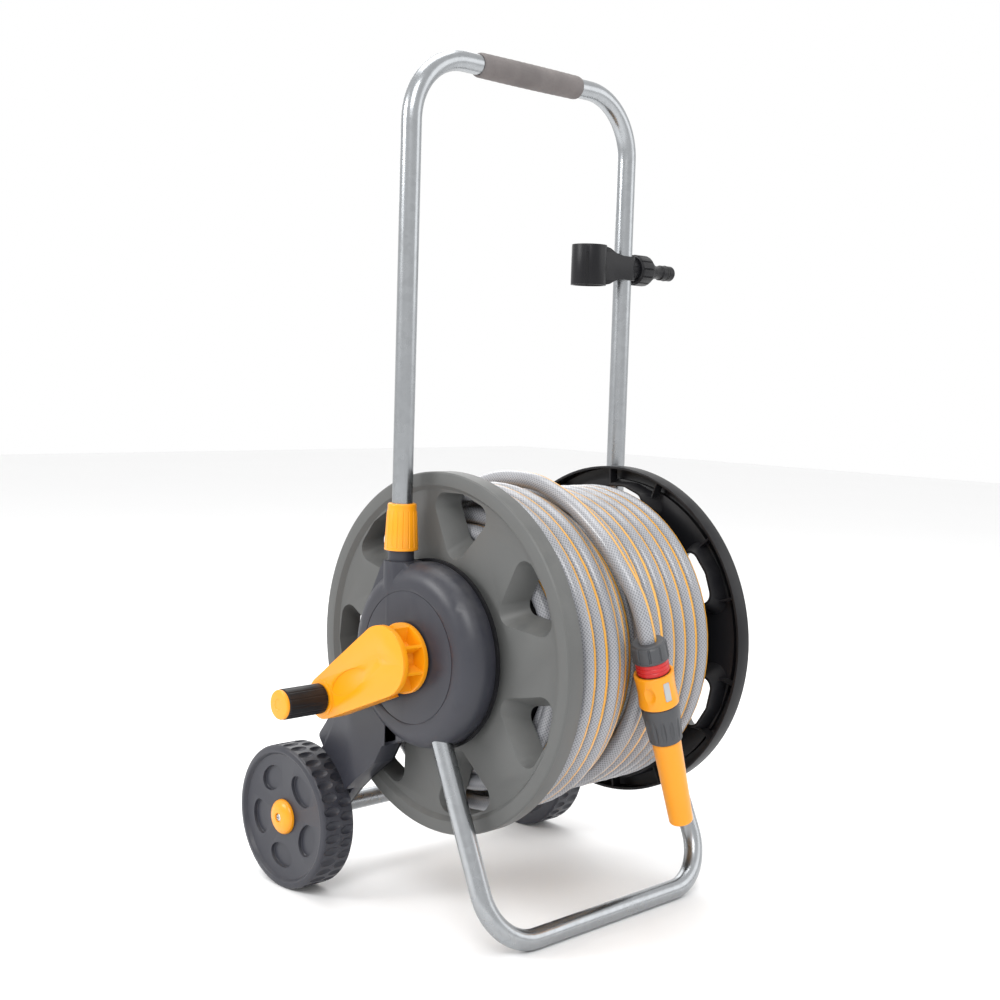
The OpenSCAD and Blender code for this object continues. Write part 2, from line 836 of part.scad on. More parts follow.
foot_tube();
axle_tube();
side_plate_left();
side_plate_right();
hub_cover_left();
hub_cover_right();
leg_guide_left();
leg_guide_right();
drum_bush_left();
drum_bush_right();
cover_screws_left();
cover_screws_right();
foot_rivets();
wheel_cap_left();
wheel_cap_right();
wheel_screws();
water_inlet();
inlet_o_ring();
handle_tube();
foam_grip();
leg_plugs();
nozzle_holder();
tap_connector();
tap_washer();
collar_left();
collar_right();
flange_left();
flange_right();
core_left();
core_right();
drum_screws();
drive_shaft();
swivel_pipe();
outlet_pipe();
crank_arm();
crank_screw();
knob_grip();
knob_cap();
wheel_left();
wheel_right();
hose_winding();
hose_tail();
hose_nut();
stop_collar();
connector_core();
release_sleeve();
nozzle_body();
nozzle_jet();
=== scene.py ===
import json
from math import cos, pi, radians, sin

import bpy
from mathutils import Matrix, Vector


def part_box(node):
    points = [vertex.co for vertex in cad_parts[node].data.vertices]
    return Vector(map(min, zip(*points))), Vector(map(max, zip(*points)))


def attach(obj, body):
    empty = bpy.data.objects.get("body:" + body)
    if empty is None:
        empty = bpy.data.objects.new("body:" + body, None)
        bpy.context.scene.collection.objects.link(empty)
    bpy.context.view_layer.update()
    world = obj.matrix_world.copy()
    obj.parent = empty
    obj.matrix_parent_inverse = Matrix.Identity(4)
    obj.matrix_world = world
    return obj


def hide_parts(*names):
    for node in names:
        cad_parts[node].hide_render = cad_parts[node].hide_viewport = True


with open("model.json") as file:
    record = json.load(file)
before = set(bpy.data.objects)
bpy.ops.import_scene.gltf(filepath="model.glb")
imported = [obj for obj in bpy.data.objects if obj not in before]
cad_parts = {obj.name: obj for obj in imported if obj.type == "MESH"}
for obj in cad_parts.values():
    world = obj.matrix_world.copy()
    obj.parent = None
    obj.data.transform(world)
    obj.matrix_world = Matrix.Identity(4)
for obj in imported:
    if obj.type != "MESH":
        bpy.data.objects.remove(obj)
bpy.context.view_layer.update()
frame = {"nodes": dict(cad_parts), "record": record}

bl_info = {
    "name": "Garden hose reel cart",
    "version": (1, 0, 0),
    "blender": (4, 5, 0),
    "location": "3D View > Sidebar > Hose cart",
    "description": "Builds the visible pieces of a garden hose reel cart round its packed model",
    "category": "Object",
}


# ---------- places, from the frame ----------

def middle(node):
    low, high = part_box(node)
    return (low + high) / 2


def size_of(node):
    low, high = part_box(node)
    return high - low


LEFT, RIGHT = -1, 1
SIDES = {LEFT: "left", RIGHT: "right"}
DRUM = Vector((
    (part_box("flange_left")[0].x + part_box("flange_right")[1].x) / 2,
    middle("flange_left").y, middle("flange_left").z,
))
WHEEL = Vector((DRUM.x, middle("wheel_left").y, middle("wheel_left").z))
KNOB = Vector((DRUM.x, middle("knob_grip").y, middle("knob_grip").z))
TAP = Vector((DRUM.x, middle("tap_connector").y, middle("tap_connector").z))
WHEEL_RADIUS = size_of("wheel_left").z / 2
WHEEL_FACE = DRUM.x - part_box("wheel_left")[0].x
WHEEL_BACK = DRUM.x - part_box("wheel_left")[1].x
TUBE_RADIUS = 0.010

# distances from mid drum, and radii about the drum's axis
DOME_FACE = 0.172
GROOVE_INNER, GROOVE_OUTER, GROOVE_DEPTH = 0.0634, 0.0642, 0.0006
CRANK_FACE = 0.205
LEG_PLACE = 0.1555

# pockets pressed in a wheel's tread and face
TREAD_POCKET_RADIUS, TREAD_POCKET_OUT = 0.0056, 0.0024
DISHES, DISH_TURN, DISH_PLACE = 5, radians(31), 0.0425
DISH_WIDE, DISH_TALL = 0.0182, 0.0125

# free end of the hose, from the nut over the drum and down into the turns behind,
# from mid drum, with heights above the floor
TAIL_ROUTE = [
    (-0.030, -0.179, 0.297), (-0.034, -0.179, 0.309), (-0.038, -0.177, 0.324),
    (-0.040, -0.170, 0.341), (-0.041, -0.156, 0.360), (-0.040, -0.135, 0.382),
    (-0.037, -0.110, 0.400), (-0.034, -0.084, 0.415), (-0.031, -0.057, 0.426),
    (-0.029, -0.029, 0.434), (-0.028, 0.000, 0.436), (-0.028, 0.029, 0.434),
    (-0.028, 0.057, 0.426), (-0.028, 0.084, 0.414), (-0.028, 0.107, 0.397),
    (-0.028, 0.126, 0.376), (-0.028, 0.140, 0.350), (-0.028, 0.146, 0.324),
]

# turns of the winding: turn, place across the drum, radius of the hose's middle;
# whole turns are at the bottom, and the free end leaves after the last one
WINDING = [
    (0, 0.0935, 0.1165), (11, -0.0935, 0.1165), (11.6, -0.0935, 0.1165), (12, -0.0935, 0.1328),
    (22.9, 0.0935, 0.1328), (23.4, 0.0935, 0.1495), (28.9, -0.0025, 0.1495),
    (29.4, -0.0935, 0.1545), (29.6, -0.0901, 0.1565), (31.9, -0.0510, 0.1565),
    (32.5, -0.0410, 0.1500), (33.0, -0.0345, 0.1500), (33.307, -0.0280, 0.1560),
]
TURN_STEPS = 64

# connector chain at the hose's end, measured from the nut's mouth
CHAIN_LEAN = radians(18.5)
CHAIN_AT = Vector(TAIL_ROUTE[0]) + Vector((DRUM.x, DRUM.y, 0))
CHAIN_AXIS = Vector((sin(CHAIN_LEAN), 0, -cos(CHAIN_LEAN)))
NUT_LENGTH = 0.0185
STOP_LENGTH = 0.0130
SLEEVE_LENGTH = 0.0335
BODY_LENGTH = 0.0380
JET_LENGTH = 0.0900
JOINT_GAP = 0.0005
STOP_AT = NUT_LENGTH
SLEEVE_AT = STOP_AT + STOP_LENGTH
BODY_AT = SLEEVE_AT + SLEEVE_LENGTH + JOINT_GAP
JET_AT = BODY_AT + BODY_LENGTH + JOINT_GAP


# ---------- modelling ----------

def object_mode():
    if bpy.context.object and bpy.context.object.mode != "OBJECT":
        bpy.ops.object.mode_set(mode="OBJECT")


def pick(piece):
    """Selects one piece alone and makes it the active one."""
    object_mode()
    bpy.ops.object.select_all(action="DESELECT")
    piece.select_set(True)
    bpy.context.view_layer.objects.active = piece


def edit(piece):
    """Opens a piece in edit mode with all of it selected."""
    pick(piece)
    bpy.ops.object.mode_set(mode="EDIT")
    bpy.ops.mesh.select_mode(type="VERT")
    bpy.ops.mesh.select_all(action="SELECT")


def close_up(piece, doubles=1e-5):
    """Merges doubled points and turns the faces outwards."""
    edit(piece)
    bpy.ops.mesh.remove_doubles(threshold=doubles)
    bpy.ops.mesh.normals_make_consistent(inside=False)
    object_mode()


def wire(name, points):
    """A chain of edges through the points, extruded from one corner, left in edit mode."""
    object_mode()
    bpy.ops.object.select_all(action="DESELECT")
    bpy.ops.mesh.primitive_plane_add(size=0.001, location=points[0])
    piece = bpy.context.object
    piece.name = piece.data.name = name
    bpy.ops.object.transform_apply(location=True, rotation=True, scale=True)
    edit(piece)
    bpy.ops.mesh.merge(type="CENTER")
    for here, there in zip(points, points[1:]):
        bpy.ops.mesh.extrude_region_move(TRANSFORM_OT_translate={"value": there - here})
    return piece


def across(along):
    """A direction square to the given one, level or upright where that can be."""
    along = Vector(along).normalized()
    up = Vector((0, 0, 1)) if abs(along.z) < 0.9 else Vector((0, 1, 0))
    return (up - up.dot(along) * along).normalized()


def turned(name, at, along, profile, steps=96):
    """A profile of (radius, distance) pairs turned about the line from at, along."""
    along = Vector(along).normalized()
    side = across(along)
    piece = wire(name, [at + side * r + along * h for r, h in profile])
    bpy.ops.mesh.select_all(action="SELECT")
    bpy.ops.mesh.spin(steps=steps, angle=2 * pi, center=at, axis=along)
    close_up(piece)
    return piece


def lofted(name, at, along, outline, sections):
    """An outline of (out, up) pairs carried along through (distance, scale) sections."""
    along = Vector(along).normalized()
    up = across(along)
    out = up.cross(along)
    first, scale = sections[0]
    points = [at + along * first + (out * a + up * b) * scale for a, b in outline]
    piece = wire(name, points + points[:1])
    bpy.ops.mesh.select_all(action="SELECT")
    bpy.ops.mesh.remove_doubles(threshold=1e-6)
    bpy.ops.mesh.edge_face_add()
    for here, now in sections[1:]:
        bpy.ops.mesh.extrude_region_move(
            TRANSFORM_OT_translate={"value": along * (here - first)})
        ratio = now / scale
        bpy.ops.transform.resize(value=(ratio,) * 3, center_override=at + along * here)
        first, scale = here, now
    close_up(piece, 1e-6)
    return piece


def slab(name, points, depth):
    """A flat outline through the points, extruded by depth."""
    piece = wire(name, points + points[:1])
    bpy.ops.mesh.select_all(action="SELECT")
    bpy.ops.mesh.remove_doubles(threshold=1e-6)
    bpy.ops.mesh.edge_face_add()
    bpy.ops.mesh.extrude_region_move(TRANSFORM_OT_translate={"value": depth})
    close_up(piece, 1e-6)
    return piece


def fluted(ribs, inner, land=0.6):
    """Outline of a ribbed round: wide ribs at radius 1, round grooves down to the inner radius."""
    points = []
    for i in range(ribs):
        shape = [(land * k / 3, 1) for k in range(4)]
        shape += [(land + (1 - land) * k / 5, 1 - (1 - inner) * sin(pi * k / 5)) for k in range(1, 5)]
        for part, r in shape:
            a = 2 * pi * (i + part) / ribs
            points.append((r * cos(a), r * sin(a)))
    return points


def block(name, centre, size, turn=0.0, axis="X"):
    """A sharp-edged box, turned about an axis through its centre."""
    object_mode()
    bpy.ops.object.select_all(action="DESELECT")
    bpy.ops.mesh.primitive_cube_add(size=1, location=centre)
    piece = bpy.context.object
    piece.name = piece.data.name = name
    piece.scale = size
    bpy.ops.object.transform_apply(location=True, rotation=True, scale=True)
    if turn:
        edit(piece)
        bpy.ops.transform.rotate(value=turn, orient_axis=axis, center_override=centre)
        object_mode()
    return piece


def combine(piece, tool, operation):
    """Cuts the tool from the piece, adds it or keeps what they share; the tool goes."""
    pick(piece)
    modifier = piece.modifiers.new("shape", "BOOLEAN")
    modifier.operation = operation
    modifier.solver = "EXACT"
    modifier.object = tool
    bpy.ops.object.modifier_apply(modifier=modifier.name)
    bpy.data.objects.remove(tool, do_unlink=True)
    return piece


def cut(piece, tool):
    return combine(piece, tool, "DIFFERENCE")


def add(piece, tool):
    return combine(piece, tool, "UNION")


def join(piece, others):
    """Makes several loose shapes one piece."""
    pick(piece)
    for other in others:
        other.select_set(True)
    bpy.ops.object.join()
    return piece


def smooth(piece, angle=32):
    pick(piece)
    bpy.ops.object.shade_smooth_by_angle(angle=radians(angle))


def soften(piece, width, segments=2, angle=32):
    """Rounds every edge sharper than the angle."""
    pick(piece)
    modifier = piece.modifiers.new("soft edges", "BEVEL")
    modifier.width = width
    modifier.segments = segments
    modifier.limit_method = "ANGLE"
    modifier.angle_limit = radians(angle)
    modifier.miter_outer = "MITER_ARC"
    bpy.ops.object.modifier_apply(modifier=modifier.name)
    smooth(piece)
    return piece


def copy_of_node(name, node):
    """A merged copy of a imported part's mesh, its flat faces whole."""
    piece = bpy.data.objects.new(name, frame["nodes"][node].data.copy())
    bpy.context.scene.collection.objects.link(piece)
    piece.data.name = name
    edit(piece)
    bpy.ops.mesh.remove_doubles(threshold=1e-6)
    bpy.ops.mesh.dissolve_limited(angle_limit=radians(0.6))
    object_mode()
    return piece


def copied(piece, name):
    pick(piece)
    bpy.ops.object.duplicate(linked=False)
    copy = bpy.context.object
    copy.name = copy.data.name = name
    return copy


def mirrored(piece, name):
    """The same piece for the other side of the drum."""
    copy = copied(piece, name)
    edit(copy)
    bpy.ops.transform.resize(value=(-1, 1, 1), center_override=DRUM)
    bpy.ops.mesh.normals_make_consistent(inside=False)
    object_mode()
    return copy


def placed(piece, body, slot, finish, *nodes):
    """Gives a finished piece its body, its material and the nodes it stands for; its slot is not used."""
    object_mode()
    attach(piece, body)
    if nodes:
        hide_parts(*nodes)
    piece.data.materials.clear()
    piece.data.materials.append(finish)


def arc(centre, r, start, end, steps):
    """Points of (radius, distance) on a quarter or other arc, in degrees."""
    return [
        (centre[0] + r * cos(radians(start + (end - start) * i / steps)),
         centre[1] + r * sin(radians(start + (end - start) * i / steps)))
        for i in range(steps + 1)
    ]


# ---------- shader groups ----------

def new_group(name, inputs, outputs):
    tree = bpy.data.node_groups.new(name, "ShaderNodeTree")
    for label, kind, value in inputs:
        socket = tree.interface.new_socket(label, in_out="INPUT", socket_type=kind)
        socket.default_value = value
    for label, kind in outputs:
        tree.interface.new_socket(label, in_out="OUTPUT", socket_type=kind)
    return tree, tree.nodes.new("NodeGroupInput"), tree.nodes.new("NodeGroupOutput")


def math_node(tree, operation, a, b=None, clamp=False):
    node = tree.nodes.new("ShaderNodeMath")
    node.operation = operation
    node.use_clamp = clamp
    for socket, value in zip(node.inputs, (a, b)):
        if isinstance(value, bpy.types.NodeSocket):
            tree.links.new(value, socket)
        elif value is not None:
            socket.default_value = value
    return node.outputs[0]


def mix_colours(tree, factor, a, b):
    node = tree.nodes.new("ShaderNodeMix")
    node.data_type = "RGBA"
    for socket, value in ((node.inputs[0], factor), (node.inputs[6], a), (node.inputs[7], b)):
        if isinstance(value, bpy.types.NodeSocket):
            tree.links.new(value, socket)
        else:
            socket.default_value = value
    return node.outputs[2]


def noise(tree, scale, detail=3.0, vector=None):
    node = tree.nodes.new("ShaderNodeTexNoise")
    if vector is None:
        vector = tree.nodes.new("ShaderNodeTexCoord").outputs["Object"]
    tree.links.new(vector, node.inputs["Vector"])
    if isinstance(scale, bpy.types.NodeSocket):
        tree.links.new(scale, node.inputs["Scale"])
    else:
        node.inputs["Scale"].default_value = scale
    node.inputs["Detail"].default_value = detail
    return node.outputs["Fac"]


def grain_group():
    """Moulded or rolled surface: fine grain, broad flow marks and handling smears."""
    tree, given, result = new_group(
        "moulded grain",
        [("Grain Scale", "NodeSocketFloat", 900.0), ("Flow Scale", "NodeSocketFloat", 14.0),
         ("Roughness", "NodeSocketFloat", 0.45), ("Spread", "NodeSocketFloat", 0.1)],
        [("Roughness", "NodeSocketFloat"), ("Height", "NodeSocketFloat"),
         ("Flow", "NodeSocketFloat")],
    )
    fine = noise(tree, given.outputs["Grain Scale"], 2.0)
    broad = noise(tree, given.outputs["Flow Scale"], 4.0)
    smear = math_node(tree, "SUBTRACT", broad, 0.5)
    shift = math_node(tree, "MULTIPLY", smear, given.outputs["Spread"])
    both = math_node(tree, "MULTIPLY", shift, 2.0)
    tree.links.new(math_node(tree, "ADD", both, given.outputs["Roughness"], clamp=True),
                   result.inputs["Roughness"])
    low = math_node(tree, "MULTIPLY", broad, 0.3)
    tree.links.new(math_node(tree, "ADD", fine, low), result.inputs["Height"])
    tree.links.new(broad, result.inputs["Flow"])
    return tree


def dust_group():
    """Pale dust that settles on what faces up, in patches."""
    tree, given, result = new_group(
        "settled dust",
        [("Color", "NodeSocketColor", (0.5, 0.5, 0.5, 1)),
         ("Dust Color", "NodeSocketColor", (0.55, 0.52, 0.47, 1)),
         ("Amount", "NodeSocketFloat", 0.15)],
        [("Color", "NodeSocketColor")],
    )
    geometry = tree.nodes.new("ShaderNodeNewGeometry")
    split = tree.nodes.new("ShaderNodeSeparateXYZ")
    tree.links.new(geometry.outputs["Normal"], split.inputs[0])
    up = math_node(tree, "MAXIMUM", split.outputs["Z"], 0.0)
    patches = noise(tree, 55.0, 5.0)
    spots = math_node(tree, "MULTIPLY", math_node(tree, "SUBTRACT", patches, 0.35), 1.6)
    spread = math_node(tree, "MULTIPLY", up, spots, clamp=True)
    amount = math_node(tree, "MULTIPLY", spread, given.outputs["Amount"], clamp=True)
    colour = mix_colours(tree, amount, given.outputs["Color"], given.outputs["Dust Color"])
    tree.links.new(colour, result.inputs["Color"])
    return tree


def group_node(tree, group, **values):
    node = tree.nodes.new("ShaderNodeGroup")
    node.node_tree = group
    for label, value in values.items():
        node.inputs[label.replace("_", " ")].default_value = value
    return node


def new_finish(name):
    material = bpy.data.materials.new(name)
    material.use_nodes = True
    return material, material.node_tree, material.node_tree.nodes["Principled BSDF"]


def bump(tree, shader, height, strength, distance):
    node = tree.nodes.new("ShaderNodeBump")
    node.inputs["Strength"].default_value = strength
    node.inputs["Distance"].default_value = distance
    tree.links.new(height, node.inputs["Height"])
    tree.links.new(node.outputs["Normal"], shader.inputs["Normal"])


def plastic(name, colour, other, roughness=0.42, spread=0.08, grain=900.0, flow=14.0,
            dust=0.12, coat=0.0, shine=0.4, depth=0.00006):
    """Moulded plastic between two near colours, with grain, smears and dust."""
    material, tree, shader = new_finish(name)
    surface = group_node(tree, GROUPS["grain"], Grain_Scale=grain, Flow_Scale=flow,
                         Roughness=roughness, Spread=spread)
    tint = mix_colours(tree, surface.outputs["Flow"], (*colour, 1), (*other, 1))
    dusty = group_node(tree, GROUPS["dust"], Amount=dust)
    tree.links.new(tint, dusty.inputs["Color"])
    tree.links.new(dusty.outputs["Color"], shader.inputs["Base Color"])
    tree.links.new(surface.outputs["Roughness"], shader.inputs["Roughness"])
    shader.inputs["Coat Weight"].default_value = coat
    shader.inputs["Specular IOR Level"].default_value = shine
    shader.inputs["Coat Roughness"].default_value = 0.15
    bump(tree, shader, surface.outputs["Height"], 0.35, depth)
    return material


def galvanised(name, colour, other, roughness):
    """Zinc-coated steel: soft spangle, fine grain and dull patches."""
    material, tree, shader = new_finish(name)
    shader.inputs["Metallic"].default_value = 1.0
    surface = group_node(tree, GROUPS["grain"], Grain_Scale=500.0, Flow_Scale=30.0,
                         Roughness=roughness, Spread=0.10)
    coords = tree.nodes.new("ShaderNodeTexCoord").outputs["Object"]
    cells = tree.nodes.new("ShaderNodeTexVoronoi")
    cells.inputs["Scale"].default_value = 160.0
    tree.links.new(coords, cells.inputs["Vector"])
    spangle = tree.nodes.new("ShaderNodeSeparateColor")
    tree.links.new(cells.outputs["Color"], spangle.inputs[0])
    blend = math_node(tree, "MULTIPLY", spangle.outputs[0], 0.55)
    patch = math_node(tree, "MULTIPLY", surface.outputs["Flow"], 0.6)
    factor = math_node(tree, "ADD", blend, patch, clamp=True)
    tint = mix_colours(tree, factor, (*colour, 1), (*other, 1))
    tree.links.new(tint, shader.inputs["Base Color"])
    tree.links.new(surface.outputs["Roughness"], shader.inputs["Roughness"])
    bump(tree, shader, surface.outputs["Height"], 0.2, 0.00004)
    return material


def foam(name, colour, other):
    """Closed-cell foam: open pores with painted shade in them, a matt skin and worn paler spots."""
    material, tree, shader = new_finish(name)
    surface = group_node(tree, GROUPS["grain"], Grain_Scale=1500.0, Flow_Scale=40.0,
                         Roughness=0.9, Spread=0.08)
    pores = tree.nodes.new("ShaderNodeTexVoronoi")
    pores.inputs["Scale"].default_value = 900.0
    tree.links.new(tree.nodes.new("ShaderNodeTexCoord").outputs["Object"],
                   pores.inputs["Vector"])
    pits = math_node(tree, "MINIMUM", pores.outputs["Distance"], 0.45)
    # painted shade: the colour darkens towards the middle of each pore, and is paler where the broad flow
    # noise is high
    factor = math_node(tree, "MULTIPLY", pits, surface.outputs["Flow"])
    pore_shade_and_wear = math_node(tree, "MULTIPLY", factor, 3.0, clamp=True)
    tint = mix_colours(tree, pore_shade_and_wear, (*other, 1), (*colour, 1))
    dusty = group_node(tree, GROUPS["dust"], Amount=0.2)
    tree.links.new(tint, dusty.inputs["Color"])
    tree.links.new(dusty.outputs["Color"], shader.inputs["Base Color"])
    tree.links.new(surface.outputs["Roughness"], shader.inputs["Roughness"])
    height = math_node(tree, "ADD", pits, surface.outputs["Height"])
    bump(tree, shader, height, 0.6, 0.0004)
    return material


def hose_finish(name, colours):
    """Clear-skinned hose over a diamond braid, with one stripe that has dark edges.

    The piece's own map gives metres along the hose and turns round it.
    """
    material, tree, shader = new_finish(name)
    mapped = tree.nodes.new("ShaderNodeUVMap")
    mapped.uv_map = "along"
    split = tree.nodes.new("ShaderNodeSeparateXYZ")
    tree.links.new(mapped.outputs["UV"], split.inputs[0])
    along, around = split.outputs["X"], split.outputs["Y"]
    steps = math_node(tree, "MULTIPLY", along, 2 * pi / 0.0036)
    strands = math_node(tree, "MULTIPLY", around, 2 * pi * 16)
    one = math_node(tree, "SINE", math_node(tree, "ADD", steps, strands))
    two = math_node(tree, "SINE", math_node(tree, "SUBTRACT", steps, strands))
    braid = math_node(tree, "MAXIMUM", one, two, clamp=True)
    from_stripe = math_node(tree, "ABSOLUTE", math_node(tree, "SUBTRACT", around, 0.5))
    stripe = math_node(tree, "LESS_THAN", from_stripe, 0.046)
    border = math_node(tree, "LESS_THAN", from_stripe, 0.058)
    surface = group_node(tree, GROUPS["grain"], Grain_Scale=500.0, Flow_Scale=26.0,
                         Roughness=0.33, Spread=0.10)
    body = mix_colours(tree, surface.outputs["Flow"], (*colours.hose, 1),
                       (*[0.8 * c for c in colours.hose], 1))
    woven = mix_colours(tree, math_node(tree, "MULTIPLY", braid, 0.42), body,
                        (0.56, 0.57, 0.60, 1))
    edged = mix_colours(tree, border, woven, (0.16, 0.11, 0.05, 1))
    striped = mix_colours(tree, stripe, edged, (*colours.stripe, 1))
    dusty = group_node(tree, GROUPS["dust"], Amount=0.10)
    tree.links.new(striped, dusty.inputs["Color"])
    tree.links.new(dusty.outputs["Color"], shader.inputs["Base Color"])
    tree.links.new(surface.outputs["Roughness"], shader.inputs["Roughness"])
    shader.inputs["Coat Weight"].default_value = 0.6
    shader.inputs["Coat Roughness"].default_value = 0.16
    height = math_node(tree, "ADD", math_node(tree, "MULTIPLY", braid, 0.8),
                       surface.outputs["Height"])
    bump(tree, shader, height, 0.5, 0.00025)
    return material


GROUPS = {}
FINISHES = {}


def make_finishes(colours):
    GROUPS["grain"] = grain_group()
    GROUPS["dust"] = dust_group()
    FINISHES["slate_plastic"] = plastic(
        "slate plastic", colours.slate, [1.25 * c for c in colours.slate],
        roughness=0.40, grain=1100.0)
    FINISHES["grey_plastic"] = plastic(
        "mid grey plastic", colours.flange, [1.12 * c for c in colours.flange],
        roughness=0.46, grain=1000.0)
    FINISHES["black_plastic"] = plastic(
        "black plastic", colours.black, [1.5 * c for c in colours.black],
        roughness=0.38, grain=1200.0, dust=0.05, shine=0.22)
    FINISHES["connector_grey"] = plastic(
        "connector grey plastic", colours.connector, [1.3 * c for c in colours.connector],
        roughness=0.42)
    FINISHES["insert_grey"] = plastic(
        "insert grey plastic", (0.42, 0.43, 0.44), (0.38, 0.39, 0.40), roughness=0.36)
    FINISHES["yellow_plastic"] = plastic(
        "yellow plastic", colours.yellow, [0.92 * c for c in colours.yellow],
        roughness=0.34, dust=0.06, coat=0.15)
    FINISHES["red_plastic"] = plastic(
        "red plastic", colours.red, [0.85 * c for c in colours.red], roughness=0.32, dust=0.05)
    FINISHES["ivory_plastic"] = plastic(
        "ivory bearing plastic", (0.72, 0.69, 0.60), (0.66, 0.63, 0.55), roughness=0.35)
    FINISHES["seal_rubber"] = plastic(
        "seal rubber", (0.015, 0.015, 0.016), (0.03, 0.03, 0.03), roughness=0.65, dust=0.05)
    FINISHES["steel_tube"] = galvanised(
        "galvanised tube", colours.steel, [0.86 * c for c in colours.steel], 0.26)
    FINISHES["zinc_screws"] = galvanised(
        "zinc screws", (0.62, 0.62, 0.60), (0.50, 0.50, 0.49), 0.34)
    FINISHES["foam"] = foam("grip foam", colours.foam, [0.55 * c for c in colours.foam])
    FINISHES["hose_pvc"] = hose_finish("braided hose", colours)


# ---------- properties ----------

def colour(label, what, value):
    return bpy.props.FloatVectorProperty(
        name=label, description=what, subtype="COLOR", size=3, min=0, max=1, default=value)


class CartColours(bpy.types.PropertyGroup):
    slate: colour("Slate", "Hub covers and wheels", (0.024, 0.025, 0.033))
    flange: colour("Flange", "Near drum flange and connector core", (0.088, 0.090, 0.088))
    black: colour("Black", "Far flange, plates, holder, tap connector and knob", (0.0065, 0.0065, 0.0078))
    connector: colour("Connector grey", "Hose nut and nozzle body", (0.048, 0.050, 0.055))
    yellow: colour("Yellow", "Crank, collars, caps and nozzle", (0.84, 0.31, 0.002))
    red: colour("Red", "Stop collar", (0.55, 0.016, 0.018))
    steel: colour("Steel", "Galvanised tubes", (0.38, 0.395, 0.41))
    foam: colour("Foam", "Grip on the pull bar", (0.175, 0.158, 0.155))
    hose: colour("Hose", "Hose under its clear skin", (0.19, 0.194, 0.212))
    stripe: colour("Stripe", "Stripe along the hose", (0.76, 0.36, 0.025))
    floor: colour("Floor", "Studio floor", (0.93, 0.93, 0.93))


class CartSizes(bpy.types.PropertyGroup):
    hose_diameter: bpy.props.FloatProperty(
        name="Hose diameter", description="Outer diameter of the hose",
        default=0.017, min=0.012, max=0.018, unit="LENGTH", precision=4)
    hose_length: bpy.props.FloatProperty(
        name="Hose length", description="Length of the hose, wound turns and free end",
        default=28.5, min=10, max=30, unit="LENGTH")
    hose_sides: bpy.props.IntProperty(
        name="Hose sides", description="Faces round the hose", default=16, min=8, max=24)
    tread_pockets: bpy.props.IntProperty(
        name="Tread pockets", description="Pockets in each row of a wheel's tread",
        default=34, min=12, max=60)
    knob_ribs: bpy.props.IntProperty(
        name="Knob ribs", description="Ribs round the crank's knob", default=12, min=8, max=40)
    nut_ribs: bpy.props.IntProperty(
        name="Nut ribs", description="Ribs round the hose nut; the tap nut has two more",
        default=10, min=8, max=48)
    collar_ribs: bpy.props.IntProperty(
        name="Collar ribs", description="Ribs round each locking collar",
        default=18, min=8, max=48)
    edge: bpy.props.FloatProperty(
        name="Edge rounding", description="Rounding of moulded edges",
        default=0.0008, min=0.0002, max=0.002, unit="LENGTH", precision=4)


def sizes():
    return bpy.context.scene.cart_sizes


def body_with(node):
    return next(b for b, nodes in frame["record"]["behaviour"]["bodies"].items() if node in nodes)


def stands_for(piece, finish, *nodes, slot=None):
    """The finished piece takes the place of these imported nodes."""
    placed(piece, body_with(nodes[0]), slot or finish, FINISHES[finish], *nodes)


def goes_with(piece, finish, node, slot=None):
    """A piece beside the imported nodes, on the same body as this one."""
    placed(piece, body_with(node), slot or finish, FINISHES[finish])


# ---------- drum ----------

class HOSECART_OT_flanges(bpy.types.Operator):
    """Both drum flanges, with their windows and ribs, edges rounded."""
    bl_idname = "hosecart.flanges"
    bl_label = "Drum flanges"

    def execute(self, context):
        for side, finish in ((LEFT, "grey_plastic"), (RIGHT, "black_plastic")):
            node = f"flange_{SIDES[side]}"
            flange = copy_of_node(f"flange_shaped_{SIDES[side]}", node)
            soften(flange, sizes().edge, segments=2, angle=30)
            stands_for(flange, finish, node)
        return {"FINISHED"}


class HOSECART_OT_hub_covers(bpy.types.Operator):
    """Hub covers with their towers and wheel arms, and a fine groove round the dome's face."""
    bl_idname = "hosecart.hub_covers"
    bl_label = "Hub covers"

    def execute(self, context):
        for side in (LEFT, RIGHT):
            node = f"hub_cover_{SIDES[side]}"
            cover = copy_of_node(f"cover_shaped_{SIDES[side]}", node)
            floor, clear = DOME_FACE - GROOVE_DEPTH, DOME_FACE + 0.001
            cut(cover, turned("groove", DRUM, (side, 0, 0), [
                (GROOVE_INNER, floor), (GROOVE_OUTER, floor), (GROOVE_OUTER, clear),
                (GROOVE_INNER, clear), (GROOVE_INNER, floor)], 128))
            soften(cover, 1.2 * sizes().edge, segments=2, angle=34)
            stands_for(cover, "slate_plastic", node)
        return {"FINISHED"}


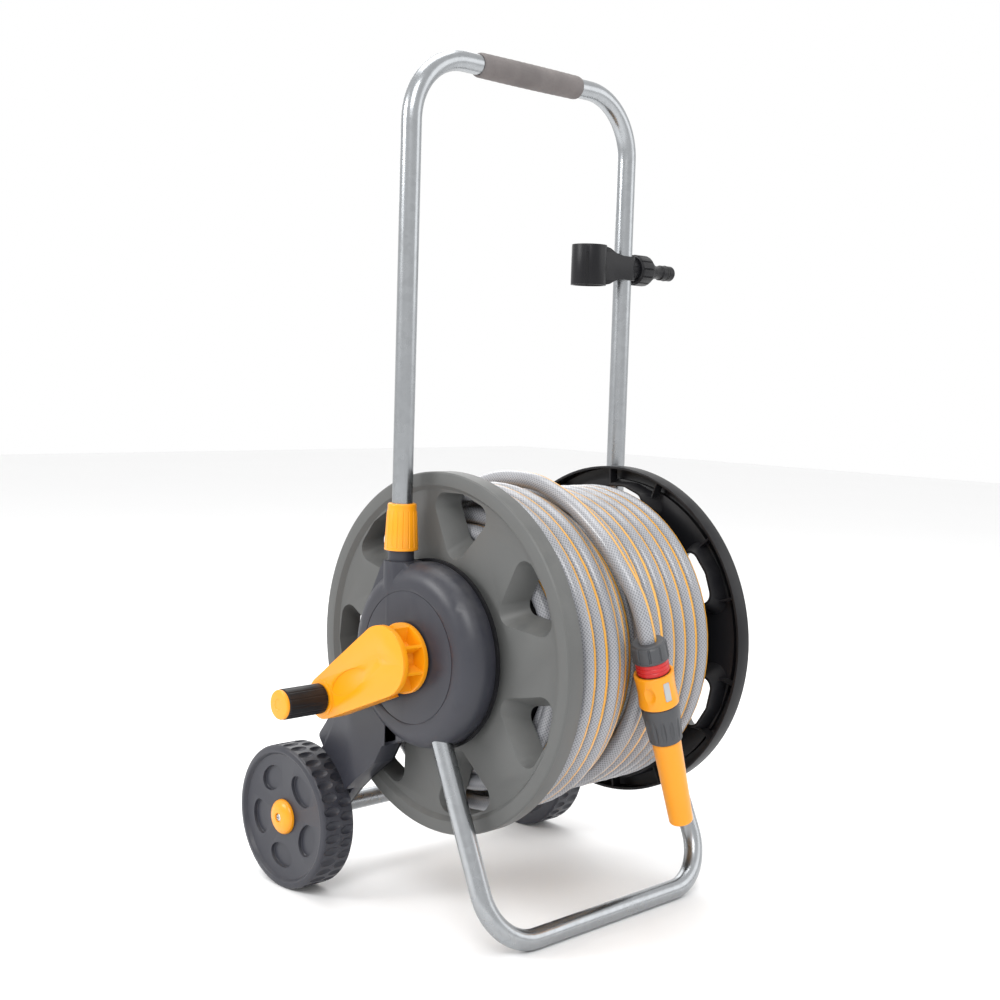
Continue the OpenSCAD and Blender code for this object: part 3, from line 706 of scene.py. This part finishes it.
class HOSECART_OT_crank(bpy.types.Operator):
    """Crank arm with its blank oval recess and screw cover, the ribbed knob and its cap."""
    bl_idname = "hosecart.crank"
    bl_label = "Crank and knob"

    def execute(self, context):
        face = DRUM.x - CRANK_FACE
        arm = copy_of_node("crank_shaped", "crank_arm")
        reach = (KNOB - DRUM).normalized()
        middle_of_arm = Vector((face, DRUM.y, DRUM.z)) + 0.056 * reach
        oval = [(0.027 * cos(a), 0.0105 * sin(a)) for a in (2 * pi * i / 48 for i in range(48))]
        turn = Vector((1, 0, 0)).cross(reach)
        points = [middle_of_arm + Vector((-0.002, 0, 0)) + reach * a + turn * b for a, b in oval]
        cut(arm, slab("oval", points, Vector((0.0028, 0, 0))))
        add(arm, turned("screw cover", DRUM, (LEFT, 0, 0), [
            (0, 0.1990), (0.0070, 0.1990), (0.0070, 0.20495), (0, 0.20495)], 48))
        soften(arm, 0.7 * sizes().edge, segments=2, angle=32)
        stands_for(arm, "yellow_plastic", "crank_arm")

        outward = (LEFT, 0, 0)
        start = DRUM.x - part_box("knob_grip")[1].x
        end = DRUM.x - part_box("knob_grip")[0].x
        grip = lofted(
            "knob_ribbed", KNOB, outward, fluted(sizes().knob_ribs, 0.972, 0.72),
            [(start, 0.0138), (start + 0.0012, 0.015), (end - 0.0012, 0.015), (end, 0.0139)])
        cut(grip, turned("knob bore", KNOB, outward, [
            (0, 0.2), (0.0071, 0.2), (0.0071, 0.251), (0, 0.251)], 48))
        smooth(grip, 28)
        stands_for(grip, "black_plastic", "knob_grip")
        cap = turned("knob_cap_domed", KNOB, outward, [
            (0, end + 0.0001), (0.0142, end + 0.0001), (0.0146, end + 0.0006),
            *arc((0.0128, end + 0.0017), 0.0018, 0, 90, 5), (0.006, end + 0.0036),
            (0.0055, end + 0.0032), (0, end + 0.0032)])
        smooth(cap)
        stands_for(cap, "yellow_plastic", "knob_cap")
        return {"FINISHED"}


# ---------- wheels ----------

def repeated_round(piece, count, axis, pivot):
    """Copies of the whole piece at even steps round a line."""
    edit(piece)
    for _ in range(count - 1):
        bpy.ops.mesh.duplicate()
        bpy.ops.transform.rotate(value=2 * pi / count, orient_axis=axis, center_override=pivot)
    object_mode()


def hollowing(name, start, end, radius, steps=24):
    """A spindle between two points, to press a long round-ended hollow."""
    along = end - start
    return turned(name, start, along, [
        (radius * sin(pi * i / 14), along.length * (0.5 - 0.5 * cos(pi * i / 14)))
        for i in range(15)], steps)


def wheel_shape(side):
    """A wheel with five shallow pockets in its face and two staggered rows in its tread."""
    outward = (side, 0, 0)
    face, back, rim = WHEEL_FACE, WHEEL_BACK, WHEEL_RADIUS
    bore = TUBE_RADIUS + 0.00005
    wheel = turned(f"wheel_shaped_{SIDES[side]}", WHEEL, outward, [
        (bore, back), (0.022, back), (0.024, back + 0.005), (0.058, back + 0.005),
        (0.062, back), *arc((rim - 0.0030, back + 0.0030), 0.0030, -90, 0, 5),
        (rim, face - 0.0050), *arc((rim - 0.0040, face - 0.0045), 0.0040, 0, 80, 6),
        *arc((rim - 0.0062, face - 0.0022), 0.0022, 80, 150, 5),
        (rim - 0.0100, face - 0.0040), (rim - 0.0120, face - 0.0047), (bore, face - 0.0047),
        (bore, back),
    ], steps=136)
    rows = []
    count = sizes().tread_pockets
    for row, (place, turn) in enumerate(((face - 0.0114, 0.0), (back + 0.0094, 0.5))):
        angle = turn * 2 * pi / count
        at = WHEEL + (rim + TREAD_POCKET_OUT) * Vector((0, sin(angle), cos(angle)))
        at.x += side * place
        half = Vector((0.0108 - 0.0016 * row, 0, 0))
        rows.append(hollowing(f"row {row}", at - half, at + half, TREAD_POCKET_RADIUS))
        repeated_round(rows[-1], count, "X", WHEEL)
    cut(wheel, join(rows[0], rows[1:]))
    angle = DISH_TURN
    radial = Vector((0, sin(angle), cos(angle)))
    oval = []
    for i in range(40):
        a = 2 * pi * i / 40
        y, z = (DISH_WIDE * cos(a) * cos(angle) + DISH_TALL * sin(a) * sin(angle),
                -DISH_WIDE * cos(a) * sin(angle) + DISH_TALL * sin(a) * cos(angle))
        oval.append((side * y, z))
    dish = lofted("dish", WHEEL + DISH_PLACE * radial, outward, oval, [
        (face - 0.0083, 0.95), (face - 0.0079, 0.98), (face - 0.0052, 0.995),
        (face - 0.0048, 1.01), (face + 0.001, 1.03)])
    repeated_round(dish, DISHES, "X", WHEEL)
    cut(wheel, dish)
    smooth(wheel, 34)
    return wheel


class HOSECART_OT_wheels(bpy.types.Operator):
    """Wheels with pocketed faces and treads, domed caps and cross-head screws."""
    bl_idname = "hosecart.wheels"
    bl_label = "Wheels"

    def execute(self, context):
        wheel, cap, screw = wheel_shape(LEFT), self.cap(), self.screw()
        for piece, finish, node in (
            (wheel, "slate_plastic", "wheel"), (cap, "yellow_plastic", "wheel_cap"),
        ):
            other = mirrored(piece, piece.name.replace("left", "right"))
            smooth(other, 30)
            stands_for(piece, finish, f"{node}_left")
            stands_for(other, finish, f"{node}_right")
        join(screw, [mirrored(screw, "other screw")])
        stands_for(screw, "zinc_screws", "wheel_screws")
        return {"FINISHED"}

    def cap(self):
        seat = WHEEL_FACE - 0.0046
        cap = turned("wheel_cap_domed_left", WHEEL, (LEFT, 0, 0), [
            (0.0021, seat - 0.020), (0.0084, seat - 0.020), (0.0084, seat), (0.0178, seat),
            (0.0182, seat + 0.0004), (0.0182, seat + 0.0020), (0.0178, seat + 0.0032),
            (0.0167, seat + 0.0047), (0.0150, seat + 0.0060), (0.0125, seat + 0.0071),
            (0.0092, seat + 0.0079), (0.0052, seat + 0.0083), (0.0046, seat + 0.0080),
            (0.0043, seat + 0.0057), (0.0021, seat + 0.0056), (0.0021, seat - 0.020)])
        smooth(cap)
        return cap

    def screw(self):
        head = WHEEL_FACE + 0.0012
        screw = turned("wheel_screws_crossed", WHEEL, (LEFT, 0, 0), [
            (0, head - 0.024), (0.0015, head - 0.0235), (0.0020, head - 0.022), (0.0020, head),
            (0.0040, head), (0.0040, head + 0.0008), (0.0034, head + 0.0014),
            (0.0020, head + 0.0018), (0, head + 0.0019)], 40)
        for size in ((0.0024, 0.0048, 0.0009), (0.0024, 0.0009, 0.0048)):
            cut(screw, block("slot", WHEEL - Vector((head + 0.0019, 0, 0)), size))
        smooth(screw, 30)
        return screw


# ---------- collars on the handle legs ----------

class HOSECART_OT_collars(bpy.types.Operator):
    """Ribbed, tapered locking collars."""
    bl_idname = "hosecart.collars"
    bl_label = "Locking collars"

    def execute(self, context):
        for side in (LEFT, RIGHT):
            node = f"collar_{SIDES[side]}"
            at = middle(node)
            at.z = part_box(node)[0].z
            tall = size_of(node).z
            up = (0, 0, 1)
            collar = lofted(
                f"collar_ribbed_{SIDES[side]}", at, up, fluted(sizes().collar_ribs, 0.968, 0.66),
                [(0.0025, 0.0162), (0.0035, 0.0166), (tall - 0.008, 0.0147),
                 (tall - 0.006, 0.0139)])
            add(collar, turned("foot ring", at, up, [
                (0, 0), (0.0160, 0), *arc((0.0160, 0.0006), 0.0006, -90, 0, 3),
                (0.0166, 0.0026), (0.0160, 0.0032), (0, 0.0032)], 104))
            add(collar, turned("top ring", at, up, [
                (0, tall - 0.012), (0.0141, tall - 0.0078),
                *arc((0.0124, tall - 0.0017), 0.0017, 0, 90, 5), (0, tall)], 104))
            cut(collar, turned("leg bore", at, up, [
                (0, -0.01), (0.01275, -0.01), (0.01275, tall - 0.0065),
                (0.01015, tall - 0.0065), (0.01015, tall + 0.01), (0, tall + 0.01)], 64))
            smooth(collar, 30)
            stands_for(collar, "yellow_plastic", node)
        return {"FINISHED"}


# ---------- nozzle holder and parked tap connector ----------

class HOSECART_OT_tap_connector(bpy.types.Operator):
    """Nozzle holder on the handle, and the parked tap connector with its O-ring."""
    bl_idname = "hosecart.tap_connector"
    bl_label = "Holder and tap connector"

    def execute(self, context):
        holder = self.holder()
        stands_for(holder, "black_plastic", "nozzle_holder")

        outward = (RIGHT, 0, 0)
        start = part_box("tap_connector")[0].x - DRUM.x
        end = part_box("tap_connector")[1].x - DRUM.x
        nut_end = start + 0.026
        connector = turned("tap_connector_shaped", TAP, outward, [
            (0, start), (0.0150, start), (0.0158, start + 0.0010), (0.0158, nut_end - 0.005),
            (0.0150, nut_end - 0.0035), (0.0133, nut_end - 0.0008), (0.0126, nut_end),
            (0.0112, nut_end + 0.003), (0.0094, nut_end + 0.0062), (0.0082, nut_end + 0.009),
            (0.0075, nut_end + 0.0125), (0.0072, nut_end + 0.016), (0.0072, nut_end + 0.0198),
            (0.0080, nut_end + 0.0205), (0.00845, nut_end + 0.0212), (0.00845, end - 0.0118),
            (0.0070, end - 0.0116), (0.0070, end - 0.0090), (0.00845, end - 0.0088),
            (0.00845, end - 0.0022), *arc((0.0070, end - 0.0015), 0.0015, 0, 90, 5), (0, end)])
        add(connector, lofted("nut ribs", TAP, outward, fluted(sizes().nut_ribs + 2, 0.93, 0.78), [
            (start + 0.0012, 0.0160), (start + 0.0024, 0.0170), (nut_end - 0.0068, 0.0170),
            (nut_end - 0.0046, 0.0158)]))
        cut(connector, turned("tap bore", TAP, outward, [
            (0, start - 0.01), (0.01255, start - 0.01), (0.01255, start + 0.016),
            (0.0050, start + 0.016), (0.0050, end - 0.002), (0.0058, end + 0.001),
            (0, end + 0.001)], 64))
        smooth(connector, 30)
        stands_for(connector, "black_plastic", "tap_connector")
        ring = turned("tap_o_ring", TAP, outward, [
            (0.0079 + 0.00098 * cos(a), end - 0.0103 + 0.00098 * sin(a))
            for a in (2 * pi * i / 12 for i in range(13))], 64)
        smooth(ring, 60)
        goes_with(ring, "seal_rubber", "tap_connector")
        return {"FINISHED"}

    def holder(self):
        """Split cup on a band that tapers to the handle's leg."""
        holder = copy_of_node("holder_shaped", "nozzle_holder")
        low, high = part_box("nozzle_holder")
        cup = Vector((low.x + 0.019, low.y + 0.019, TAP.z))
        leg = DRUM.x + LEG_PLACE
        near, thick = Vector((0, TAP.y - 0.0134, 0)), Vector((0, 0.0158, 0))
        for up in (1, -1):
            gusset = [(cup.x + 0.0135, 0.0140), (cup.x + 0.0135, 0.0204),
                      (cup.x + 0.0200, 0.0192), (cup.x + 0.0300, 0.0146), (cup.x + 0.0300, 0.0140)]
            add(holder, slab("gusset", [
                near + Vector((x, 0, TAP.z + up * z)) for x, z in gusset], thick))
            wedge = [(cup.x + 0.0295, 0.0160), (cup.x + 0.0295, 0.0148), (leg - 0.014, 0.0127),
                     (leg + 0.014, 0.0127), (leg + 0.014, 0.0160)]
            cut(holder, slab("wedge", [
                near + Vector((x, -0.002, TAP.z + up * z)) for x, z in wedge],
                Vector((0, 0.035, 0))))
        way = Vector((-0.79, -0.61, 0))
        cut(holder, block("slit", cup + 0.019 * way - Vector((0, 0, 0.0050)),
                          (0.0030, 0.0013, 0.0360), radians(37.7), "Z"))
        soften(holder, 1.2 * sizes().edge, segments=2, angle=34)
        return holder


# ---------- grip ----------

class HOSECART_OT_grip(bpy.types.Operator):
    """Foam sleeve on the pull bar, a little fuller in the middle."""
    bl_idname = "hosecart.grip"
    bl_label = "Foam grip"

    def execute(self, context):
        low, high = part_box("foam_grip")
        at = middle("foam_grip")
        at.x = low.x
        long, thick = high.x - low.x, (high.z - low.z) / 2
        skin = [(thick - 0.0004 + 0.0004 * sin(pi * i / 40) + 0.00012 * sin(2.3 * i),
                 0.0022 + (long - 0.0044) * i / 40) for i in range(41)]
        grip = turned("grip_sleeve", at, (1, 0, 0), [
            (0.01004, 0), (thick - 0.0018, 0), (thick - 0.0009, 0.0006), *skin,
            (thick - 0.0009, long - 0.0006), (thick - 0.0018, long), (0.01004, long),
            (0.01004, 0)])
        smooth(grip, 60)
        stands_for(grip, "foam", "foam_grip")
        return {"FINISHED"}


# ---------- hose ----------

def eased(t):
    return t * t * (3 - 2 * t)


def winding_points(turn):
    """The point on the hose's middle line at a turn of the winding."""
    for (a, x_a, r_a), (b, x_b, r_b) in zip(WINDING, WINDING[1:]):
        if turn <= b:
            t = (turn - a) / (b - a)
            x, r = x_a + (x_b - x_a) * t, r_a + (r_b - r_a) * eased(t)
            break
    angle = 2 * pi * turn - pi / 2
    out = Vector((0, cos(angle), sin(angle)))
    return DRUM + Vector((x, 0, 0)) + r * out


def rounded_run(points, steps):
    """A smooth line through the points."""
    run = []
    padded = [points[0] * 2 - points[1], *points, points[-1] * 2 - points[-2]]
    for a, b, c, d in zip(padded, padded[1:], padded[2:], padded[3:]):
        for i in range(steps):
            t = i / steps
            run.append(0.5 * (2 * b + (c - a) * t + (2 * a - 5 * b + 4 * c - d) * t ** 2
                              + (3 * b - a - 3 * c + d) * t ** 3))
    return run + [points[-1]]


def hose_line():
    """Points along the whole hose, from the barrel's outlet to inside the connector."""
    last = WINDING[-1][0]
    count = round(last * TURN_STEPS)
    wound = [winding_points(last * i / count) for i in range(count - 4)]
    tail = [Vector(p) + Vector((DRUM.x, DRUM.y, 0)) for p in reversed(TAIL_ROUTE)]
    tail += [CHAIN_AT + CHAIN_AXIS * d for d in (0.012, 0.024, 0.036, 0.047)]
    return wound + rounded_run(tail, 5)


def tube_along(name, points, radius, sides):
    """A closed tube; its map holds metres along it and turns round it, 0.5 facing outwards."""
    verts, faces, along, far = [], [], [], 0.0
    for i, p in enumerate(points):
        ahead = (points[min(i + 1, len(points) - 1)] - points[max(i - 1, 0)]).normalized()
        out = p - Vector((p.x, DRUM.y, DRUM.z))
        out = (out - out.dot(ahead) * ahead).normalized()
        side = ahead.cross(out)
        far += (p - points[i - 1]).length if i else 0.0
        along.append(far)
        roll = -0.34 + 0.10 * sin(far * 2.3) + 0.06 * sin(far * 5.9 + 1.0)
        for k in range(sides):
            a = 2 * pi * k / sides + pi + roll
            verts.append(p + radius * (cos(a) * out + sin(a) * side))
    for i in range(len(points) - 1):
        for k in range(sides):
            a, b = i * sides + k, i * sides + (k + 1) % sides
            faces.append((a, b, b + sides, a + sides))
    faces.append(tuple(range(sides - 1, -1, -1)))
    faces.append(tuple(range(len(verts) - sides, len(verts))))
    mesh = bpy.data.meshes.new(name)
    mesh.from_pydata(verts, [], faces)
    layer = mesh.uv_layers.new(name="along")
    corner = 0
    for i in range(len(points) - 1):
        for k in range(sides):
            for ring, step in ((i, k), (i, k + 1), (i + 1, k + 1), (i + 1, k)):
                layer.data[corner].uv = (along[ring], step / sides)
                corner += 1
    piece = bpy.data.objects.new(name, mesh)
    bpy.context.scene.collection.objects.link(piece)
    return piece


class HOSECART_OT_hose(bpy.types.Operator):
    """Striped hose, wound on the drum and led over it to its connector."""
    bl_idname = "hosecart.hose"
    bl_label = "Hose"

    def execute(self, context):
        points = hose_line()
        hose = tube_along("hose", points, sizes().hose_diameter / 2, sizes().hose_sides)
        smooth(hose, 60)
        stands_for(hose, "hose_pvc", "hose_winding", "hose_tail")
        return {"FINISHED"}


# ---------- connector and nozzle ----------

def square_to_chain(x, y):
    """The direction nearest to a level one that is square to the chain's line."""
    way = Vector((x, y, 0))
    return (way - way.dot(CHAIN_AXIS) * CHAIN_AXIS).normalized()


class HOSECART_OT_nozzle(bpy.types.Operator):
    """Hose nut, stop collar, quick-connector sleeve, and the spray nozzle."""
    bl_idname = "hosecart.nozzle"
    bl_label = "Connector and nozzle"

    def execute(self, context):
        self.nut()
        self.sleeve()
        self.nozzle()
        return {"FINISHED"}

    def nut(self):
        end = NUT_LENGTH
        nut = turned("hose_nut_ribbed", CHAIN_AT, CHAIN_AXIS, [
            (0.0087, 0), (0.0138, 0), *arc((0.0144, 0.0012), 0.0012, -90, -20, 3),
            (0.0160, 0.0024), (0.0163, 0.0032), (0.0163, end - 0.0030), (0.0170, end - 0.0026),
            (0.0174, end - 0.0020), (0.0174, end - 0.0008), (0.0166, end), (0.0087, end),
            (0.0087, 0)])
        ribs = lofted("nut ribs", CHAIN_AT, CHAIN_AXIS, fluted(sizes().nut_ribs, 0.92, 0.78), [
            (0.0018, 0.0160), (0.0032, 0.0173), (end - 0.0028, 0.0174), (end - 0.0022, 0.0168)])
        cut(ribs, turned("nut bore", CHAIN_AT, CHAIN_AXIS, [
            (0, -0.01), (0.0120, -0.01), (0.0120, 0.03), (0, 0.03)], 48))
        add(nut, ribs)
        smooth(nut, 30)
        stands_for(nut, "connector_grey", "hose_nut")
        at = CHAIN_AT + CHAIN_AXIS * STOP_AT
        end = STOP_LENGTH
        rings = []
        for i in range(3):
            first = 0.0001 + i * (end - 0.0002) / 3
            last = 0.0001 + (i + 1) * (end - 0.0002) / 3
            rings += [(0.0153, first), (0.0159, first + 0.0006), (0.0159, last - 0.0010),
                      (0.0153, last - 0.0005)]
        stop = turned("stop_collar_ringed", at, CHAIN_AXIS, [
            (0.0087, 0.0001), *rings, (0.0153, end - 0.0001), (0.0087, end - 0.0001),
            (0.0087, 0.0001)])
        smooth(stop, 28)
        stands_for(stop, "red_plastic", "stop_collar")

    def sleeve(self):
        at = CHAIN_AT + CHAIN_AXIS * SLEEVE_AT
        end = SLEEVE_LENGTH
        core = turned("connector_core_turned", at, CHAIN_AXIS, [
            (0.0060, 0), (0.0146, 0), (0.0146, end - 0.0010), (0.0140, end - 0.0004),
            (0.0088, end - 0.0004), (0.0088, 0.0050), (0.0060, 0.0050), (0.0060, 0)], 64)
        smooth(core)
        stands_for(core, "grey_plastic", "connector_core")
        sleeve = turned("sleeve_shaped", at, CHAIN_AXIS, [
            (0.01475, 0.0045), (0.0163, 0.0045), (0.0163, 0.0002), (0.0168, 0), (0.0180, 0),
            *arc((0.0181, 0.0012), 0.0012, -90, 0, 4), (0.0191, 0.0050), (0.0186, 0.0110),
            (0.0184, 0.0170), (0.0186, 0.0230), (0.0191, 0.0285), (0.0193, end - 0.0022),
            *arc((0.0179, end - 0.0014), 0.0014, 0, 90, 4), (0.01475, end),
            (0.01475, 0.0045)])
        front, grip = square_to_chain(-0.29, -0.956), square_to_chain(-0.95, -0.31)
        for turn in (0, 180):
            way = Matrix.Rotation(radians(turn), 3, CHAIN_AXIS) @ grip
            middle_of_grip = at + way * 0.0278
            cut(sleeve, hollowing("finger hollow", middle_of_grip + CHAIN_AXIS * 0.0040,
                                  middle_of_grip + CHAIN_AXIS * 0.0300, 0.0116, 48))
        place = at + CHAIN_AXIS * 0.0160 + front * 0.0176
        cut(sleeve, self.pad("insert seat", place, front, 0.0098, 0.0034, 0.0050))
        smooth(sleeve, 34)
        stands_for(sleeve, "yellow_plastic", "release_sleeve")
        insert = self.pad("sleeve_insert", place, front, 0.0096, 0.0032, 0.0013)
        soften(insert, 0.0005, segments=2, angle=40)
        goes_with(insert, "insert_grey", "release_sleeve", slot="connector_grey")

    def pad(self, name, place, front, half_long, half_wide, rise):
        """A long pad with rounded corners, standing on the sleeve."""
        side = front.cross(CHAIN_AXIS).normalized()
        points = []
        for across_it, along_it, first in ((1, 1, 0), (-1, 1, 90), (-1, -1, 180), (1, -1, 270)):
            for out, down in arc((across_it * (half_wide - 0.0012),
                                  along_it * (half_long - 0.0012)), 0.0012, first, first + 90, 4):
                points.append(place - front * 0.0022 + side * out + CHAIN_AXIS * down)
        return slab(name, points, front * (rise + 0.0022))

    def nozzle(self):
        at = CHAIN_AT + CHAIN_AXIS * BODY_AT
        body = turned("nozzle_body_grooved", at, CHAIN_AXIS, [
            (0.0050, -0.0200), (0.0074, -0.0200), (0.00845, -0.0188), (0.00845, 0),
            (0.0165, 0), *arc((0.0168, 0.0014), 0.0014, -90, 0, 4), (0.0180, 0.0110),
            (0.0160, 0.0362), *arc((0.0147, 0.0366), 0.0014, 0, 90, 4), (0.0050, 0.0380),
            (0.0050, -0.0200)])
        grooves = []
        count = 13
        for i in range(count):
            way = Matrix.Rotation(2 * pi * (i + 0.3) / count, 3, CHAIN_AXIS) @ across(CHAIN_AXIS)
            grooves.append(hollowing(
                f"groove {i}", at + CHAIN_AXIS * 0.0100 + way * 0.0192,
                at + CHAIN_AXIS * 0.0368 + way * 0.0172, 0.0027, 16))
        cut(body, join(grooves[0], grooves[1:]))
        smooth(body, 30)
        stands_for(body, "connector_grey", "nozzle_body")
        at = CHAIN_AT + CHAIN_AXIS * JET_AT
        end = JET_LENGTH
        jet = turned("nozzle_jet_tapered", at, CHAIN_AXIS, [
            (0.0040, 0), (0.0136, 0), (0.0141, 0.0006), (0.0118, end - 0.0030),
            *arc((0.0094, end - 0.0024), 0.0024, 8, 90, 7),
            (0.0070, end), (0.0062, end - 0.0022), (0.0040, end - 0.0026), (0.0040, 0)])
        smooth(jet, 32)
        stands_for(jet, "yellow_plastic", "nozzle_jet")


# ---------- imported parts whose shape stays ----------

class HOSECART_OT_packed_parts(bpy.types.Operator):
    """Finishes for the tubes, plates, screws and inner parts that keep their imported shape."""
    bl_idname = "hosecart.packed_parts"
    bl_label = "Tubes and inner parts"

    def execute(self, context):
        for part in frame["record"]["subparts"]:
            mesh = frame["nodes"][part["node"]].data
            mesh.materials.clear()
            mesh.materials.append(FINISHES[part["material_slot"]])
        return {"FINISHED"}


# ---------- stage ----------

class HOSECART_OT_stage(bpy.types.Operator):
    """Pale floor, soft lights and the camera."""
    bl_idname = "hosecart.stage"
    bl_label = "Studio"

    def execute(self, context):
        self.floor()
        self.lights()
        self.camera()
        context.scene.view_settings.view_transform = "Standard"
        return {"FINISHED"}

    def floor(self):
        object_mode()
        bpy.ops.object.select_all(action="DESELECT")
        bpy.ops.mesh.primitive_plane_add(size=14, location=(0, 0, 0))
        floor = bpy.context.object
        floor.name = "floor"
        material, tree, shader = new_finish("studio floor")
        pale = (*bpy.context.scene.cart_colours.floor, 1)
        tint = mix_colours(tree, noise(tree, 2.0), pale, [0.985 * c for c in pale[:3]] + [1])
        tree.links.new(tint, shader.inputs["Base Color"])
        shader.inputs["Roughness"].default_value = 0.6
        floor.data.materials.append(material)
        world = bpy.data.worlds.new("studio")
        world.use_nodes = True
        background = world.node_tree.nodes["Background"]
        background.inputs["Color"].default_value = (1, 1, 1, 1)
        background.inputs["Strength"].default_value = 1.0
        bpy.context.scene.world = world

    def lights(self):
        for name, place, power, size in (
            ("key", (-1.7, -1.5, 2.3), 34, 1.2), ("side", (-2.0, 1.0, 1.5), 24, 0.8),
            ("fill", (1.9, -1.9, 1.4), 10, 1.6), ("top", (0.1, 0.4, 2.6), 26, 1.6),
            ("back", (1.2, 1.9, 1.6), 10, 1.4),
        ):
            bpy.ops.object.light_add(type="AREA", location=place)
            light = bpy.context.object
            light.name = name
            light.data.energy = power
            light.data.size = size
            aim = Vector((0, 0, 0.35)) - Vector(place)
            light.rotation_euler = aim.to_track_quat("-Z", "Y").to_euler()

    def camera(self):
        azimuth, elevation, roll, far = radians(-44.21), radians(4.88), radians(1.71), 1.446
        target = Vector((DRUM.x - 0.0539, DRUM.y, 0.4157))
        back = Vector((sin(azimuth) * cos(elevation), -cos(azimuth) * cos(elevation),
                       sin(elevation)))
        right = Vector((0, 0, 1)).cross(back).normalized()
        up = back.cross(right)
        level = cos(roll) * right + sin(roll) * up
        upright = cos(roll) * up - sin(roll) * right
        bpy.ops.object.camera_add(location=target + far * back)
        camera = bpy.context.object
        camera.rotation_euler = Matrix((level, upright, back)).transposed().to_euler()
        camera.data.sensor_width = 36
        camera.data.lens = 51.81
        bpy.context.scene.camera = camera


class HOSECART_PT_panel(bpy.types.Panel):
    """Colours, sizes and the steps that build the cart."""
    bl_idname = "HOSECART_PT_panel"
    bl_label = "Hose cart"
    bl_space_type = "VIEW_3D"
    bl_region_type = "UI"
    bl_category = "Hose cart"

    def draw(self, context):
        for holder in (context.scene.cart_colours, context.scene.cart_sizes):
            for name in holder.bl_rna.properties.keys():
                if name not in ("rna_type", "name"):
                    self.layout.prop(holder, name)
        for step in STEPS:
            self.layout.operator(step.bl_idname)


STEPS = (
    HOSECART_OT_packed_parts, HOSECART_OT_flanges, HOSECART_OT_hub_covers, HOSECART_OT_crank,
    HOSECART_OT_wheels, HOSECART_OT_collars, HOSECART_OT_tap_connector, HOSECART_OT_grip,
    HOSECART_OT_nozzle, HOSECART_OT_hose, HOSECART_OT_stage,
)
CLASSES = (CartColours, CartSizes, *STEPS, HOSECART_PT_panel)


def register():
    for cls in CLASSES:
        bpy.utils.register_class(cls)
    bpy.types.Scene.cart_colours = bpy.props.PointerProperty(type=CartColours)
    bpy.types.Scene.cart_sizes = bpy.props.PointerProperty(type=CartSizes)


def unregister():
    del bpy.types.Scene.cart_sizes
    del bpy.types.Scene.cart_colours
    for cls in reversed(CLASSES):
        bpy.utils.unregister_class(cls)


def main():
    register()
    make_finishes(bpy.context.scene.cart_colours)
    for step in STEPS:
        group, name = step.bl_idname.split(".")
        getattr(getattr(bpy.ops, group), name)()


if __name__ == "__main__":
    main()
